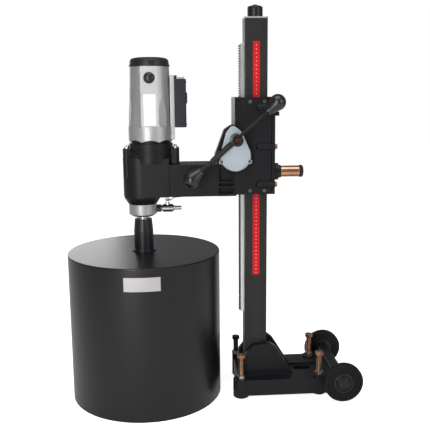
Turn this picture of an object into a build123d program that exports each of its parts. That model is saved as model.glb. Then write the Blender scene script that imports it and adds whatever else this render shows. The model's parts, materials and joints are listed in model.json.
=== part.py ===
from build123d import *
import os
from math import acos, atan2, cos, degrees, pi, radians, sin, sqrt, tan

# Core drill rig: a square column on a wheeled base, a carriage that a rack and a
# hand crank move up and down, and a geared electric motor that turns a core bit.
# Millimetres. The column stands on the Z axis and Z = 0 is the floor.
# -X points at the core bit, +X at the wheels and -Y at the crank.

os.makedirs("parts", exist_ok=True)

# ---------------------------------------------------------------- clearances
running_gap = 0.05        # radial gap of a shaft that turns or slides in its bore
bearing_gap = 0.02        # radial gap of a shaft in a ball bearing
pad_gap = 0.05            # slide pads to the column
gear_thinning = 0.15      # each tooth is this much thinner than half its pitch
free_gap = 0.4            # parts that pass each other without guiding
loft_inset = 0.2          # a loft's end lies this far inside the ball it meets
cut_over = 1.0            # a cut runs this far past the face it opens

# -------------------------------------------------------------------- column
column_width = 58.0
column_wall = 5.0
column_corner = 2.5
column_foot = 30.0        # the column stands on the base's inner floor
column_length = 955.0
groove_width = 1.6
groove_depth = 0.8
groove_offsets = [13.5, 18.0, 22.5]
end_plate_width = 60.0
end_plate_thickness = 4.0
column_half = column_width / 2
column_top = column_foot + column_length
end_plate_top = column_top + end_plate_thickness

# ---------------------------------------------------------------- jack screw
jack_radius = 12.0
jack_reach = 60.0         # length of thread below the column's top
jack_head_radius = 19.5
jack_head_height = 28.0
jack_bump_radius = 7.0
jack_bump_height = 3.0
jack_nut_radius = 20.0
jack_nut_height = 22.0

# --------------------------------------------------------------- scale strip
scale_width = 17.5
scale_bottom = 325.0
scale_length = 604.0
scale_thickness = 0.8

# ----------------------------------------------------- rack and feed gearing
rack_module = 2.0
rack_pressure_angle = 20.0
rack_back = 9.5           # solid metal behind the roots of the teeth
rack_width = 20.0
rack_bottom = 217.0
rack_top = 925.0
pinion_teeth = 17
feed_module = 1.5
feed_pressure_angle = 25.0
feed_gear_teeth = 42
crank_gear_teeth = 14
feed_height = 646.0       # height of the pinion's axis at rest
rack_screw_count = 5
rack_screw_radius = 3.0
rack_screw_head_radius = 5.0
rack_screw_head_depth = 5.0
rack_screw_spacing = 156.0
rack_root = -column_half - rack_back
rack_pitch_line = rack_root - 1.25 * rack_module
rack_tip = rack_pitch_line - rack_module
pinion_pitch_radius = rack_module * pinion_teeth / 2
feed_x = rack_pitch_line - pinion_pitch_radius
pinion_tip_radius = pinion_pitch_radius + rack_module
feed_centres = feed_module * (feed_gear_teeth + crank_gear_teeth) / 2
crank_height = feed_height + feed_centres
feed_gear_width = 10.0
crank_gear_width = 12.0
feed_shaft_radius = 9.0
feed_bush_radius = 14.0
crank_shaft_radius = 7.0

# ------------------------------------------------------------------ carriage
carriage_bottom = 544.0
carriage_height = 247.0
carriage_depth = 100.0
carriage_front = -57.0
carriage_split = 38.0     # where the rear plate meets the casting
rear_plate_thickness = 8.0
slide_gap = 4.0           # space round the column, filled by the slide pads
rack_space = 4.0          # space round the rack
carriage_corner = 4.0
carriage_top = carriage_bottom + carriage_height
carriage_half = carriage_depth / 2
slide_half = column_half + slide_gap
pad_width = 12.0
pad_height = 30.0
pad_inset = 12.0          # pads start this far from the carriage's ends
pad_offset = 19.5
clamp_boss_radius = 8.0
clamp_boss_start = -3.0
clamp_heights = [569.5, 666.5, 766.0]
clamp_bolt_radius = 4.0
clamp_head_radius = 7.0
clamp_head_height = 5.5
clamp_inset = 2.0         # bolt axes inside the carriage's faces
clamp_thread_start = 6.0
stop_height = 749.0
stop_offset = -40.0
stop_radius = 5.5
stop_length = 11.0
lock_boss_radius = 23.0
lock_boss_height = 7.0
gib_heights = [554.0, 780.0]
gib_offset = 18.5
gib_screw_radius = 3.0
gib_head_radius = 4.5
gib_head_height = 2.5
root_left = -100.0        # left end of the carriage's root for the arm
root_bottom = 540.0
root_top = 623.0
arm_half = 45.0
root_pocket_depth = 16.0
root_rib = 4.0
root_pocket_bottom = 546.0
root_pocket_top = 612.0
root_rib_heights = [564.0, 576.0]
edge_pocket_width = 12.5
edge_pocket_inset = 3.0   # from the carriage's left face
edge_pocket_height = 66.0
edge_pocket_depth = 5.0
barrel_radius = 27.0
pinion_space = 2.0        # space round the pinion's tips
pinion_width = 24.0

# ----------------------------------------------------------------- gear case
# rounded corners of the case's and the cover's outlines: x and z from the
# pinion's axis, and radius
case_corners = [(0, 0, 41.5), (-28, 0, 24), (-19, 58, 12), (-6, 66, 12), (6, 56, 11)]
cover_corners = [(0, 0, 38.5), (-16, 55, 8), (-6, 66, 9), (9, 57, 7)]
case_wall = 7.5
case_back = 6.0
case_front = -72.0
cover_thickness = 3.0
cover_ear_radius = 6.0
cover_ear_distance = 38.5
cover_ear_angles = [-22.0, 202.0]
ear_wall = 2.0
cover_screw_radius = 2.5
cover_screw_head_radius = 4.2
cover_screw_head_height = 2.6
case_back_face = -carriage_half
cover_face = case_front - cover_thickness
crank_boss_radius = 13.0
crank_boss_depth = 22.0

# --------------------------------------------------------------------- crank
bar_plane = -93.0
bar_angle = 41.3
hub_radius = 15.0
hub_front = -127.0
hub_back = -80.0
hub_round = 3.0
hub_recess_radius = 9.0
hub_recess_depth = 7.0
short_reach = 137.0       # hub axis to the centre of the upper ball
long_reach = 149.0        # hub axis to the centre of the lower ball
upper_rod_radius = 3.5
lower_rod_radius = 4.5
sleeve_radius = 7.5
sleeve_end = 82.0
ball_radius = 20.5
ball_neck_radius = 9.5
ball_neck_length = 41.0
ball_join = 7.0           # the neck meets the ball this far before its centre

# ------------------------------------------------------------ drill and motor
spindle_x = -295.5
motor_x = -270.0
spindle_radius = 12.5
motor_radius = 55.5
motor_bottom = 720.0
motor_length = 149.0
motor_taper = 2.1         # degrees
motor_bore = 47.0
panel_width = 44.0
panel_face = 53.0
facet_count = 10
facet_width = 20.0
facet_depth = 2.6
cap_height = 23.0
cap_lip_radius = 51.8
cap_lip_height = 4.0
cap_side_radius = 50.2
cap_shoulder_radius = 48.8
cap_shoulder_height = 15.5
cap_dome_radius = 43.5
cap_dome_height = 20.0
cap_flat_radius = 28.0
cap_bore = 38.0
bearing_seat_wall = 4.0
cap_wall = 4.0
ring_radius = 57.0
ring_height = 34.0
ring_bore = 51.0
scallop_radius = 46.0
scallop_depth = 5.0
scallop_count = 8
motor_top = motor_bottom + motor_length
ring_bottom = motor_bottom - ring_height
motor_label_width = 30.5
motor_label_height = 78.5
motor_label_rise = 2.0    # from the shell's lower end
motor_label_thickness = 0.6
label_corner = 1.5
brush_height = 840.6
brush_cap_radius = 14.0
brush_cap_height = 5.0
brush_radius = 7.0
commutator_radius = 15.0
armature_radius = 27.5
stator_bore = 28.5
stator_bottom = 745.0
stator_height = 70.0
coil_height = 10.0
coil_gap = 5.0
coil_wall = 2.0
rotor_radius = 6.0
fan_radius = 43.0
fan_bottom = 699.0
fan_top = 703.0
fan_blades = 12
fan_blade_middle = 28.0
fan_blade_length = 26.0
fan_blade_thickness = 2.0
fan_blade_height = 9.0
rotor_drums = [  # bottom, top and radius of each round part of the rotor
    (stator_bottom + 3, stator_bottom + stator_height - 3, armature_radius),
    (brush_height - 11.6, brush_height + 11.4, commutator_radius),
    (fan_bottom, fan_top, fan_radius),
]

# ------------------------------------------------------------------- gearbox
body_radius = 48.5
body_bottom = 533.0
body_top = 640.0
neck_radius = 56.0
neck_top = 668.0
cone_bottom = 519.0
cone_radius = 37.0
nose_step = 2.5
shoulder_shift = 12.0
bracket_left = -225.0
bracket_right = -173.0
cavity_radius = 40.0
cavity_floor = 595.0
upper_cavity_radius = 46.0
bearing_bore = 22.0
web_bottom = 580.0
plate_thickness = 8.0
spigot_height = 16.0
spigot_wall = 5.0
lug_radius = 10.0
lug_distance = 66.0
lug_root = 6.0            # second circle of a lug, this much nearer to the motor's axis
lug_angles = [20.0, 160.0, 200.0, 340.0]
lug_bottoms = [624.0, 590.0, 590.0, 624.0]
lug_floor = 4.0
lug_top = 664.0
lug_bolt_radius = 3.0
lug_head_radius = 4.5
lug_head_height = 6.0
socket_share = 0.8        # a screw's hexagon socket, as a share of its shank
band_groove_width = 2.0
band_groove_depth = 1.2
band_groove_heights = [648.0, 657.0]
rotor_module = 1.0
rotor_teeth = 10
layshaft_gear_teeth = 34
spindle_module = 1.5
layshaft_pinion_teeth = 10
spindle_gear_teeth = 30
drill_pressure_angle = 25.0
stub_addendum = 0.8
rotor_gear_bottom = 643.0
rotor_gear_width = 12.0
spindle_gear_bottom = 602.0
spindle_gear_width = 20.0
layshaft_radius = 4.0
layshaft_bush_radius = 8.0
layshaft_bush_length = 8.0
rotor_bearing_radius = 12.0
top_bearing_radius = 16.0
top_bearing_width = 10.0
spindle_bearing_width = 16.0
plate_top = neck_top + plate_thickness
shaft_offset = motor_x - spindle_x
rotor_centres = rotor_module * (rotor_teeth + layshaft_gear_teeth) / 2
spindle_centres = spindle_module * (layshaft_pinion_teeth + spindle_gear_teeth) / 2
layshaft_along = (spindle_centres**2 - rotor_centres**2 + shaft_offset**2) / (2 * shaft_offset)
layshaft_y = sqrt(spindle_centres**2 - layshaft_along**2)
layshaft_x = spindle_x + layshaft_along

# ------------------------------------------------------- water collar, valve
collar_radius = 36.0
collar_bottom = 486.0
collar_step = 492.0
collar_low_radius = 26.5
gallery_radius = 17.0
gallery_lip = 5.0
water_height = 505.0
water_bore = 3.5
valve_hex_radius = 11.0
valve_hex_end = -247.0
valve_body_radius = 10.5
valve_body_end = -217.0
valve_stem_x = -231.0
valve_stem_radius = 3.0
valve_stem_top = 529.0
valve_ball_radius = 7.0
nipple_end = -194.0
nipple_radius = 6.0
nipple_bore = 3.5
lever_length = 39.0
lever_width = 9.0
lever_thickness = 2.0
lever_rise = 7.0

# ------------------------------------------------------------------ core bit
bit_radius = 200.0
bit_height = 393.0
bit_wall = 3.5
bit_plate = 6.0
bit_edge = 3.0
adapter_top = 478.0
adapter_top_radius = 22.5
adapter_radius = 25.5
adapter_shoulder = 446.0
adapter_flange_radius = 31.0
adapter_flange_height = 3.0
adapter_spigot_radius = 16.0
adapter_overlap = 37.0    # length of spindle that the adapter grips
bit_label_arc = 25.6      # degrees
bit_label_bottom = 337.0
bit_label_height = 34.5
bit_label_thickness = 0.6

# ---------------------------------------------------------------- switch box
bracket_plate_right = -208.0
bracket_plate_half = 22.0
bracket_plate_bottom = 686.0
bracket_plate_top = 847.0
box_right = -178.0
box_half = 26.0
box_bottom = 716.5
box_top = 838.0
box_wall = 3.0
rocker_half_width = 9.0
rocker_half_height = 14.0
rocker_height = 790.0
rocker_depth = 8.0
rocker_proud = 3.0
rocker_gap = 1.0
gland_height = 735.0
gland_radius = 8.0
gland_length = 18.0
gland_bore = 4.0

# ------------------------------------------------------------- carriage lock
lock_height = 597.0
lock_screw_radius = 6.0
lock_flange_radius = 22.0
lock_flange_thickness = 8.0
lock_collar_radius = 17.0
lock_grip_start = 68.0
lock_grip_end = 118.0
lock_grip_radius = 15.0
lock_cap_end = 128.0
lock_tip_gap = 0.6

# ---------------------------------------------------------------------- base
base_front = -52.0
base_rear = 200.0
base_half = 86.0
base_skirt = 6.0          # the skirt stops this far above the floor
base_wall = 8.0
deck_corner = 14.0
socket_gap = 0.02
deck_thickness = 8.0
deck_top = 49.0
plinth_top = 55.5         # raised part of the deck round the gussets
plinth_half = 54.0
plinth_slope_start = 40.0
plinth_slope_end = 101.0
rib_width = 6.0
rib_offset = 21.0
rib_rise = 4.0            # the ribs stop this far above the skirt
socket_wall = 12.0
socket_top = 86.0
cheek_face = 46.0         # outer faces of the gussets
near_boss_radius = 21.5
far_boss_radius = 10.5
boss_round = 4.0
rear_boss_radius = 18.0
front_bolt_x = -44.5
front_bolt_y = 71.0
rear_bolt_x = 166.5
rear_bolt_y = 68.0
near_boss_top = 50.0
far_boss_top = 65.0
rear_boss_top = 53.0
level_bolt_radius = 7.0
level_bolt_top = 118.0
level_head_height = 9.0
level_head_radius = 11.5
level_tip = 3.0
level_nut_height = 8.0
slot_width = 24.0
slot_start = 108.0
slot_end = 158.0
recess_half = 24.0
recess_depth = 5.0
recess_start = 78.0
recess_end = 186.0

# -------------------------------------------------------------------- wheels
wheel_x = 219.0
wheel_z = 53.0
wheel_radius = 52.0
wheel_width = 22.0
wheel_inner = 113.0
tyre_bore = 26.0
tyre_round = 5.0
hub_dish = 6.0
axle_radius = 8.0
axle_head_radius = 12.0
axle_head_thickness = 3.0
axle_beam_half = 108.0
beam_x = 214.0
beam_width = 30.0
beam_height = 34.0
beam_corner = 5.0
beam_web_drop = 8.0


def gear_outline(teeth, module, pressure_angle, addendum, tooth_angle):
    """Corner points of an involute gear with one tooth centred on tooth_angle degrees."""
    pitch_radius = teeth * module / 2
    base_radius = pitch_radius * cos(radians(pressure_angle))
    tip_radius = pitch_radius + addendum * module
    root_radius = pitch_radius - 1.25 * module
    flank_start = max(base_radius, root_radius)
    half_at_pitch = pi / (2 * teeth) - gear_thinning / (2 * pitch_radius)

    def involute(radius):
        pressure = acos(min(1.0, base_radius / radius))
        return tan(pressure) - pressure

    flank_steps = 4
    flank_rise = (tip_radius - flank_start) / flank_steps
    radii = [flank_start + flank_rise * step for step in range(flank_steps + 1)]
    halves = [half_at_pitch + involute(pitch_radius) - involute(radius) for radius in radii]
    if root_radius < flank_start:
        radii.insert(0, root_radius)
        halves.insert(0, halves[0])
    points = []
    for tooth in range(teeth):
        middle = radians(tooth_angle) + 2 * pi * tooth / teeth
        for radius, half in zip(radii, halves):
            points.append((radius * cos(middle - half), radius * sin(middle - half)))
        for radius, half in zip(reversed(radii), reversed(halves)):
            points.append((radius * cos(middle + half), radius * sin(middle + half)))
    return points


def shift(points, x, y):
    """The same outline moved by x and y."""
    return [(point[0] + x, point[1] + y) for point in points]


def front_plane(y):
    """A sketch plane that faces -Y, with +X to the right and +Z up."""
    return Plane.XZ.offset(-y)


def side_plane(x):
    """A sketch plane that faces +X, with +Y to the right and +Z up."""
    return Plane.YZ.offset(x)


def save(sub_part, name):
    """Label one finished piece and write it as its own file."""
    sub_part.part.label = name
    export_step(sub_part.part, "parts/" + name + ".step")


# =============================================================== fixed stand
groove_spots = [offset * side for offset in groove_offsets for side in (-1, 1)]
with BuildPart() as column:
    with BuildSketch(Plane.XY.offset(column_foot)):
        RectangleRounded(column_width, column_width, column_corner)
        Rectangle(column_width - 2 * column_wall, column_width - 2 * column_wall, mode=Mode.SUBTRACT)
        for spot in groove_spots:
            with Locations((spot, -column_half), (spot, column_half)):
                Rectangle(groove_width, 2 * groove_depth, mode=Mode.SUBTRACT)
            with Locations((-column_half, spot), (column_half, spot)):
                Rectangle(2 * groove_depth, groove_width, mode=Mode.SUBTRACT)
    extrude(amount=column_length)
    with BuildSketch(side_plane(rack_root)):
        with GridLocations(1, rack_screw_spacing, 1, rack_screw_count):
            with Locations((0, (rack_bottom + rack_top) / 2)):
                Circle(rack_screw_radius)
    extrude(amount=rack_back + column_wall, mode=Mode.SUBTRACT)
save(column, "column")

with BuildPart() as column_end_plate:
    with BuildSketch(Plane.XY.offset(column_top)):
        RectangleRounded(end_plate_width, end_plate_width, column_corner)
        Circle(jack_radius + running_gap, mode=Mode.SUBTRACT)
    extrude(amount=end_plate_thickness)
    with BuildSketch(Plane.XY.offset(column_top - jack_nut_height)):
        RegularPolygon(jack_nut_radius, 6)
        Circle(jack_radius + running_gap, mode=Mode.SUBTRACT)
    extrude(amount=jack_nut_height)
save(column_end_plate, "column_end_plate")

with BuildPart() as jack_screw:
    with BuildSketch(Plane.XY.offset(column_top - jack_reach)):
        Circle(jack_radius)
    extrude(amount=jack_reach + end_plate_thickness)
    chamfer(jack_screw.faces().sort_by(Axis.Z)[0].edges(), length=2)
    with BuildSketch(Plane.XY.offset(end_plate_top)):
        Circle(jack_head_radius)
    extrude(amount=jack_head_height)
    fillet(jack_screw.faces().sort_by(Axis.Z)[-1].edges(), radius=6)
    with BuildSketch(Plane.XY.offset(end_plate_top + jack_head_height)):
        Circle(jack_bump_radius)
    extrude(amount=jack_bump_height)
    fillet(jack_screw.faces().sort_by(Axis.Z)[-1].edges(), radius=2)
save(jack_screw, "jack_screw")

# The rack's teeth leave a gap centred on the pinion's axis at rest.
rack_pitch = pi * rack_module
rack_half_tooth = rack_pitch / 4 - gear_thinning / 2
rack_slant = tan(radians(rack_pressure_angle))
rack_first = -int((feed_height - rack_bottom) / rack_pitch)
rack_last = int((rack_top - feed_height) / rack_pitch)
rack_outline = [(-column_half, rack_bottom), (rack_root, rack_bottom)]
for tooth in range(rack_first, rack_last):
    tooth_middle = feed_height + (tooth + 0.5) * rack_pitch
    root_half = rack_half_tooth + 1.25 * rack_module * rack_slant
    tip_half = rack_half_tooth - rack_module * rack_slant
    rack_outline.append((rack_root, tooth_middle - root_half))
    rack_outline.append((rack_tip, tooth_middle - tip_half))
    rack_outline.append((rack_tip, tooth_middle + tip_half))
    rack_outline.append((rack_root, tooth_middle + root_half))
rack_outline += [(rack_root, rack_top), (-column_half, rack_top)]
with BuildPart() as rack:
    with BuildSketch(front_plane(-rack_width / 2)):
        with BuildLine():
            Polyline(*rack_outline, close=True)
        make_face()
    extrude(amount=-rack_width)
    with BuildSketch(side_plane(rack_tip)):
        with GridLocations(1, rack_screw_spacing, 1, rack_screw_count):
            with Locations((0, (rack_bottom + rack_top) / 2)):
                Circle(rack_screw_head_radius)
    extrude(amount=rack_root - rack_tip + rack_screw_head_depth, mode=Mode.SUBTRACT)
    with BuildSketch(side_plane(rack_root)):
        with GridLocations(1, rack_screw_spacing, 1, rack_screw_count):
            with Locations((0, (rack_bottom + rack_top) / 2)):
                Circle(rack_screw_radius)
    extrude(amount=rack_back, mode=Mode.SUBTRACT)
save(rack, "rack")

with BuildPart() as rack_screws:
    with BuildSketch(side_plane(rack_root + rack_screw_head_depth)):
        with GridLocations(1, rack_screw_spacing, 1, rack_screw_count):
            with Locations((0, (rack_bottom + rack_top) / 2)):
                Circle(rack_screw_radius)
    extrude(amount=rack_back - rack_screw_head_depth + column_wall)
    with BuildSketch(side_plane(rack_root + rack_screw_head_depth)):
        with GridLocations(1, rack_screw_spacing, 1, rack_screw_count):
            with Locations((0, (rack_bottom + rack_top) / 2)):
                Circle(rack_screw_head_radius)
                RegularPolygon(rack_screw_radius * socket_share, 6, mode=Mode.SUBTRACT)
    extrude(amount=-rack_screw_head_depth + free_gap)
save(rack_screws, "rack_screws")

with BuildPart() as scale_strip:
    with BuildSketch(front_plane(-column_half)):
        with Locations((0, scale_bottom + scale_length / 2)):
            Rectangle(scale_width, scale_length)
    extrude(amount=scale_thickness)
save(scale_strip, "scale_strip")

# The base is an open-bottomed casting: deck, skirt, ribs, gussets and bosses.
cheek_outline = [
    (-44, column_foot),
    (-42, 80),
    (-39, 94),
    (-25, 112),
    (-9, 131),
    (37, 137),
    (54, 124),
    (plinth_slope_end, deck_top - cut_over),
    (plinth_slope_end, column_foot),
]
front_bolts = [(front_bolt_x, -front_bolt_y), (front_bolt_x, front_bolt_y)]
rear_bolts = [(rear_bolt_x, -rear_bolt_y), (rear_bolt_x, rear_bolt_y)]
corner_spots = front_bolts + rear_bolts
corner_radii = [near_boss_radius, far_boss_radius, rear_boss_radius, rear_boss_radius]
corner_tops = [near_boss_top, far_boss_top, rear_boss_top, rear_boss_top]
socket_half = column_half + socket_wall
slot_middle = (slot_start + slot_end) / 2
beam_bottom = wheel_z - beam_height / 2
deck_middle = (base_front + base_rear) / 2
deck_length = base_rear - base_front
rib_bottom = base_skirt + rib_rise
with BuildPart() as base_casting:
    with BuildSketch(Plane.XY.offset(base_skirt)):
        with Locations((deck_middle, 0)):
            Rectangle(deck_length, 2 * base_half)
    extrude(amount=deck_top - base_skirt)
    deck_edges = base_casting.edges().filter_by(Axis.Z).group_by(Axis.X)[-1]
    fillet(deck_edges, radius=deck_corner)
    with BuildSketch(Plane.XY.offset(base_skirt)):
        with Locations((deck_middle, 0)):
            Rectangle(deck_length - 2 * base_wall, 2 * (base_half - base_wall))
    extrude(amount=deck_top - deck_thickness - base_skirt, mode=Mode.SUBTRACT)
    with BuildSketch(front_plane(plinth_half)):
        with BuildLine():
            Polyline(
                (base_front, deck_top - cut_over),
                (base_front, plinth_top),
                (plinth_slope_start, plinth_top),
                (plinth_slope_end, deck_top),
                (plinth_slope_end, deck_top - cut_over),
                close=True,
            )
        make_face()
    extrude(amount=2 * plinth_half)
    # two long ribs under the deck
    with BuildSketch(Plane.XY.offset(rib_bottom)):
        with Locations((deck_middle, -rib_offset), (deck_middle, rib_offset)):
            Rectangle(deck_length - base_wall, rib_width)
    extrude(amount=deck_top - deck_thickness / 2 - rib_bottom)
    # corner bosses that stand on the floor
    for corner_spot, corner_radius, corner_top in zip(corner_spots, corner_radii, corner_tops):
        with BuildSketch():
            with Locations(corner_spot):
                Circle(corner_radius)
        extrude(amount=corner_top)
    boss_feet = base_casting.edges().filter_by(GeomType.CIRCLE).group_by(Axis.Z)[0]
    fillet(boss_feet, radius=boss_round)
    # column socket and the gussets at both sides of it
    with BuildSketch(Plane.XY.offset(rib_bottom)):
        Rectangle(2 * socket_half, 2 * socket_half)
    extrude(amount=socket_top - rib_bottom)
    for cheek_start in (cheek_face, -column_half):
        with BuildSketch(front_plane(cheek_start)):
            with BuildLine():
                Polyline(*cheek_outline, close=True)
            make_face()
        extrude(amount=cheek_face - column_half)
    with BuildSketch(Plane.XY.offset(column_foot)):
        RectangleRounded(column_width + socket_gap, column_width + socket_gap, column_corner)
    extrude(amount=column_length, mode=Mode.SUBTRACT)
    # rear beam for the axle, joined to the deck over its whole width
    with BuildSketch(front_plane(axle_beam_half)):
        with Locations((beam_x, wheel_z)):
            RectangleRounded(beam_width, beam_height, beam_corner)
        with BuildLine():
            Polyline(
                (base_rear - base_wall, beam_bottom - beam_web_drop),
                (base_rear - base_wall, deck_top),
                (beam_x, deck_top + beam_web_drop),
                (beam_x, beam_bottom),
                close=True,
            )
        make_face()
    extrude(amount=2 * axle_beam_half)
    # recess in the deck, and the anchor slot through its floor
    with BuildSketch(Plane.XY.offset(deck_top - recess_depth)):
        with Locations(((recess_start + recess_end) / 2, 0)):
            Rectangle(recess_end - recess_start, 2 * recess_half)
    extrude(amount=plinth_top - deck_top + recess_depth, mode=Mode.SUBTRACT)
    with BuildSketch():
        with Locations((slot_middle, 0)):
            SlotOverall(slot_end - slot_start, slot_width)
    extrude(amount=plinth_top, mode=Mode.SUBTRACT)
    # bores for the levelling bolts and the axle
    with BuildSketch(Plane.XY.offset(-cut_over)):
        with Locations(*corner_spots):
            Circle(level_bolt_radius + running_gap)
    extrude(amount=far_boss_top + 2 * cut_over, mode=Mode.SUBTRACT)
    with BuildSketch(front_plane(axle_beam_half + cut_over)):
        with Locations((wheel_x, wheel_z)):
            Circle(axle_radius)
    extrude(amount=2 * axle_beam_half + 2 * cut_over, mode=Mode.SUBTRACT)
save(base_casting, "base_casting")

corner_names = ["front_near", "front_far", "rear_near", "rear_far"]
for corner_name, corner_spot in zip(corner_names, corner_spots):
    with BuildPart() as levelling_bolt:
        with BuildSketch(Plane.XY.offset(level_tip)):
            with Locations(corner_spot):
                Circle(level_bolt_radius)
        extrude(amount=level_bolt_top - level_head_height - level_tip)
        chamfer(levelling_bolt.faces().sort_by(Axis.Z)[0].edges(), length=1.5)
        with BuildSketch(Plane.XY.offset(level_bolt_top - level_head_height)):
            with Locations(corner_spot):
                RegularPolygon(level_head_radius, 6)
        extrude(amount=level_head_height)
    save(levelling_bolt, "levelling_bolt_" + corner_name)

with BuildPart() as levelling_lock_nuts:
    for corner_spot, corner_top in zip(corner_spots, corner_tops):
        with BuildSketch(Plane.XY.offset(corner_top)):
            with Locations(corner_spot):
                RegularPolygon(level_head_radius, 6)
                Circle(level_bolt_radius + running_gap, mode=Mode.SUBTRACT)
        extrude(amount=level_nut_height)
save(levelling_lock_nuts, "levelling_lock_nuts")

wheel_outer = wheel_inner + wheel_width
axle_end = wheel_outer + free_gap + axle_head_thickness
with BuildPart() as axle:
    with BuildSketch(front_plane(axle_end)):
        with Locations((wheel_x, wheel_z)):
            Circle(axle_radius)
    extrude(amount=2 * axle_end)
    for head_start in (axle_end, -axle_end + axle_head_thickness):
        with BuildSketch(front_plane(head_start)):
            with Locations((wheel_x, wheel_z)):
                Circle(axle_head_radius)
        extrude(amount=axle_head_thickness)
save(axle, "axle")

for side_name, side in (("near", -1), ("far", 1)):
    with BuildPart() as wheel_tyre:
        with BuildSketch(front_plane(side * wheel_inner)):
            with Locations((wheel_x, wheel_z)):
                Circle(wheel_radius)
                Circle(tyre_bore, mode=Mode.SUBTRACT)
        extrude(amount=-side * wheel_width)
        tyre_rims = wheel_tyre.edges().filter_by(GeomType.CIRCLE).sort_by(SortBy.RADIUS)[-2:]
        fillet(tyre_rims, radius=tyre_round)
    save(wheel_tyre, "wheel_tyre_" + side_name)
    with BuildPart() as wheel_hub:
        with BuildSketch(front_plane(side * wheel_inner)):
            with Locations((wheel_x, wheel_z)):
                Circle(tyre_bore)
                Circle(axle_radius + running_gap, mode=Mode.SUBTRACT)
        extrude(amount=-side * wheel_width)
        with BuildSketch(front_plane(side * (wheel_outer - hub_dish))):
            with Locations((wheel_x, wheel_z)):
                Circle(tyre_bore - 4)
                Circle(axle_head_radius + 2, mode=Mode.SUBTRACT)
        extrude(amount=-side * hub_dish, mode=Mode.SUBTRACT)
    save(wheel_hub, "wheel_hub_" + side_name)


# ================================================================== carriage
pad_spots = [carriage_bottom + pad_inset + pad_height / 2, carriage_top - pad_inset - pad_height / 2]
feed_spot = (feed_x, feed_height)
crank_spot = (feed_x, crank_height)
ear_spots = [
    (
        feed_x + cover_ear_distance * cos(radians(angle)),
        feed_height + cover_ear_distance * sin(radians(angle)),
    )
    for angle in cover_ear_angles
]
rear_plate_face = carriage_split + rear_plate_thickness
near_face = -carriage_half
clamp_line = carriage_half - clamp_inset
clamp_tip = clamp_boss_start + clamp_thread_start + 3
edge_pocket_x = carriage_front + edge_pocket_inset + edge_pocket_width / 2


def gear_hull(corners, inset):
    """Draw an outline round the feed gears: circles and their common tangents."""
    for corner_x, corner_z, corner_radius in corners:
        with Locations((feed_x + corner_x, feed_height + corner_z)):
            Circle(corner_radius - inset)
    make_hull()


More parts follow.
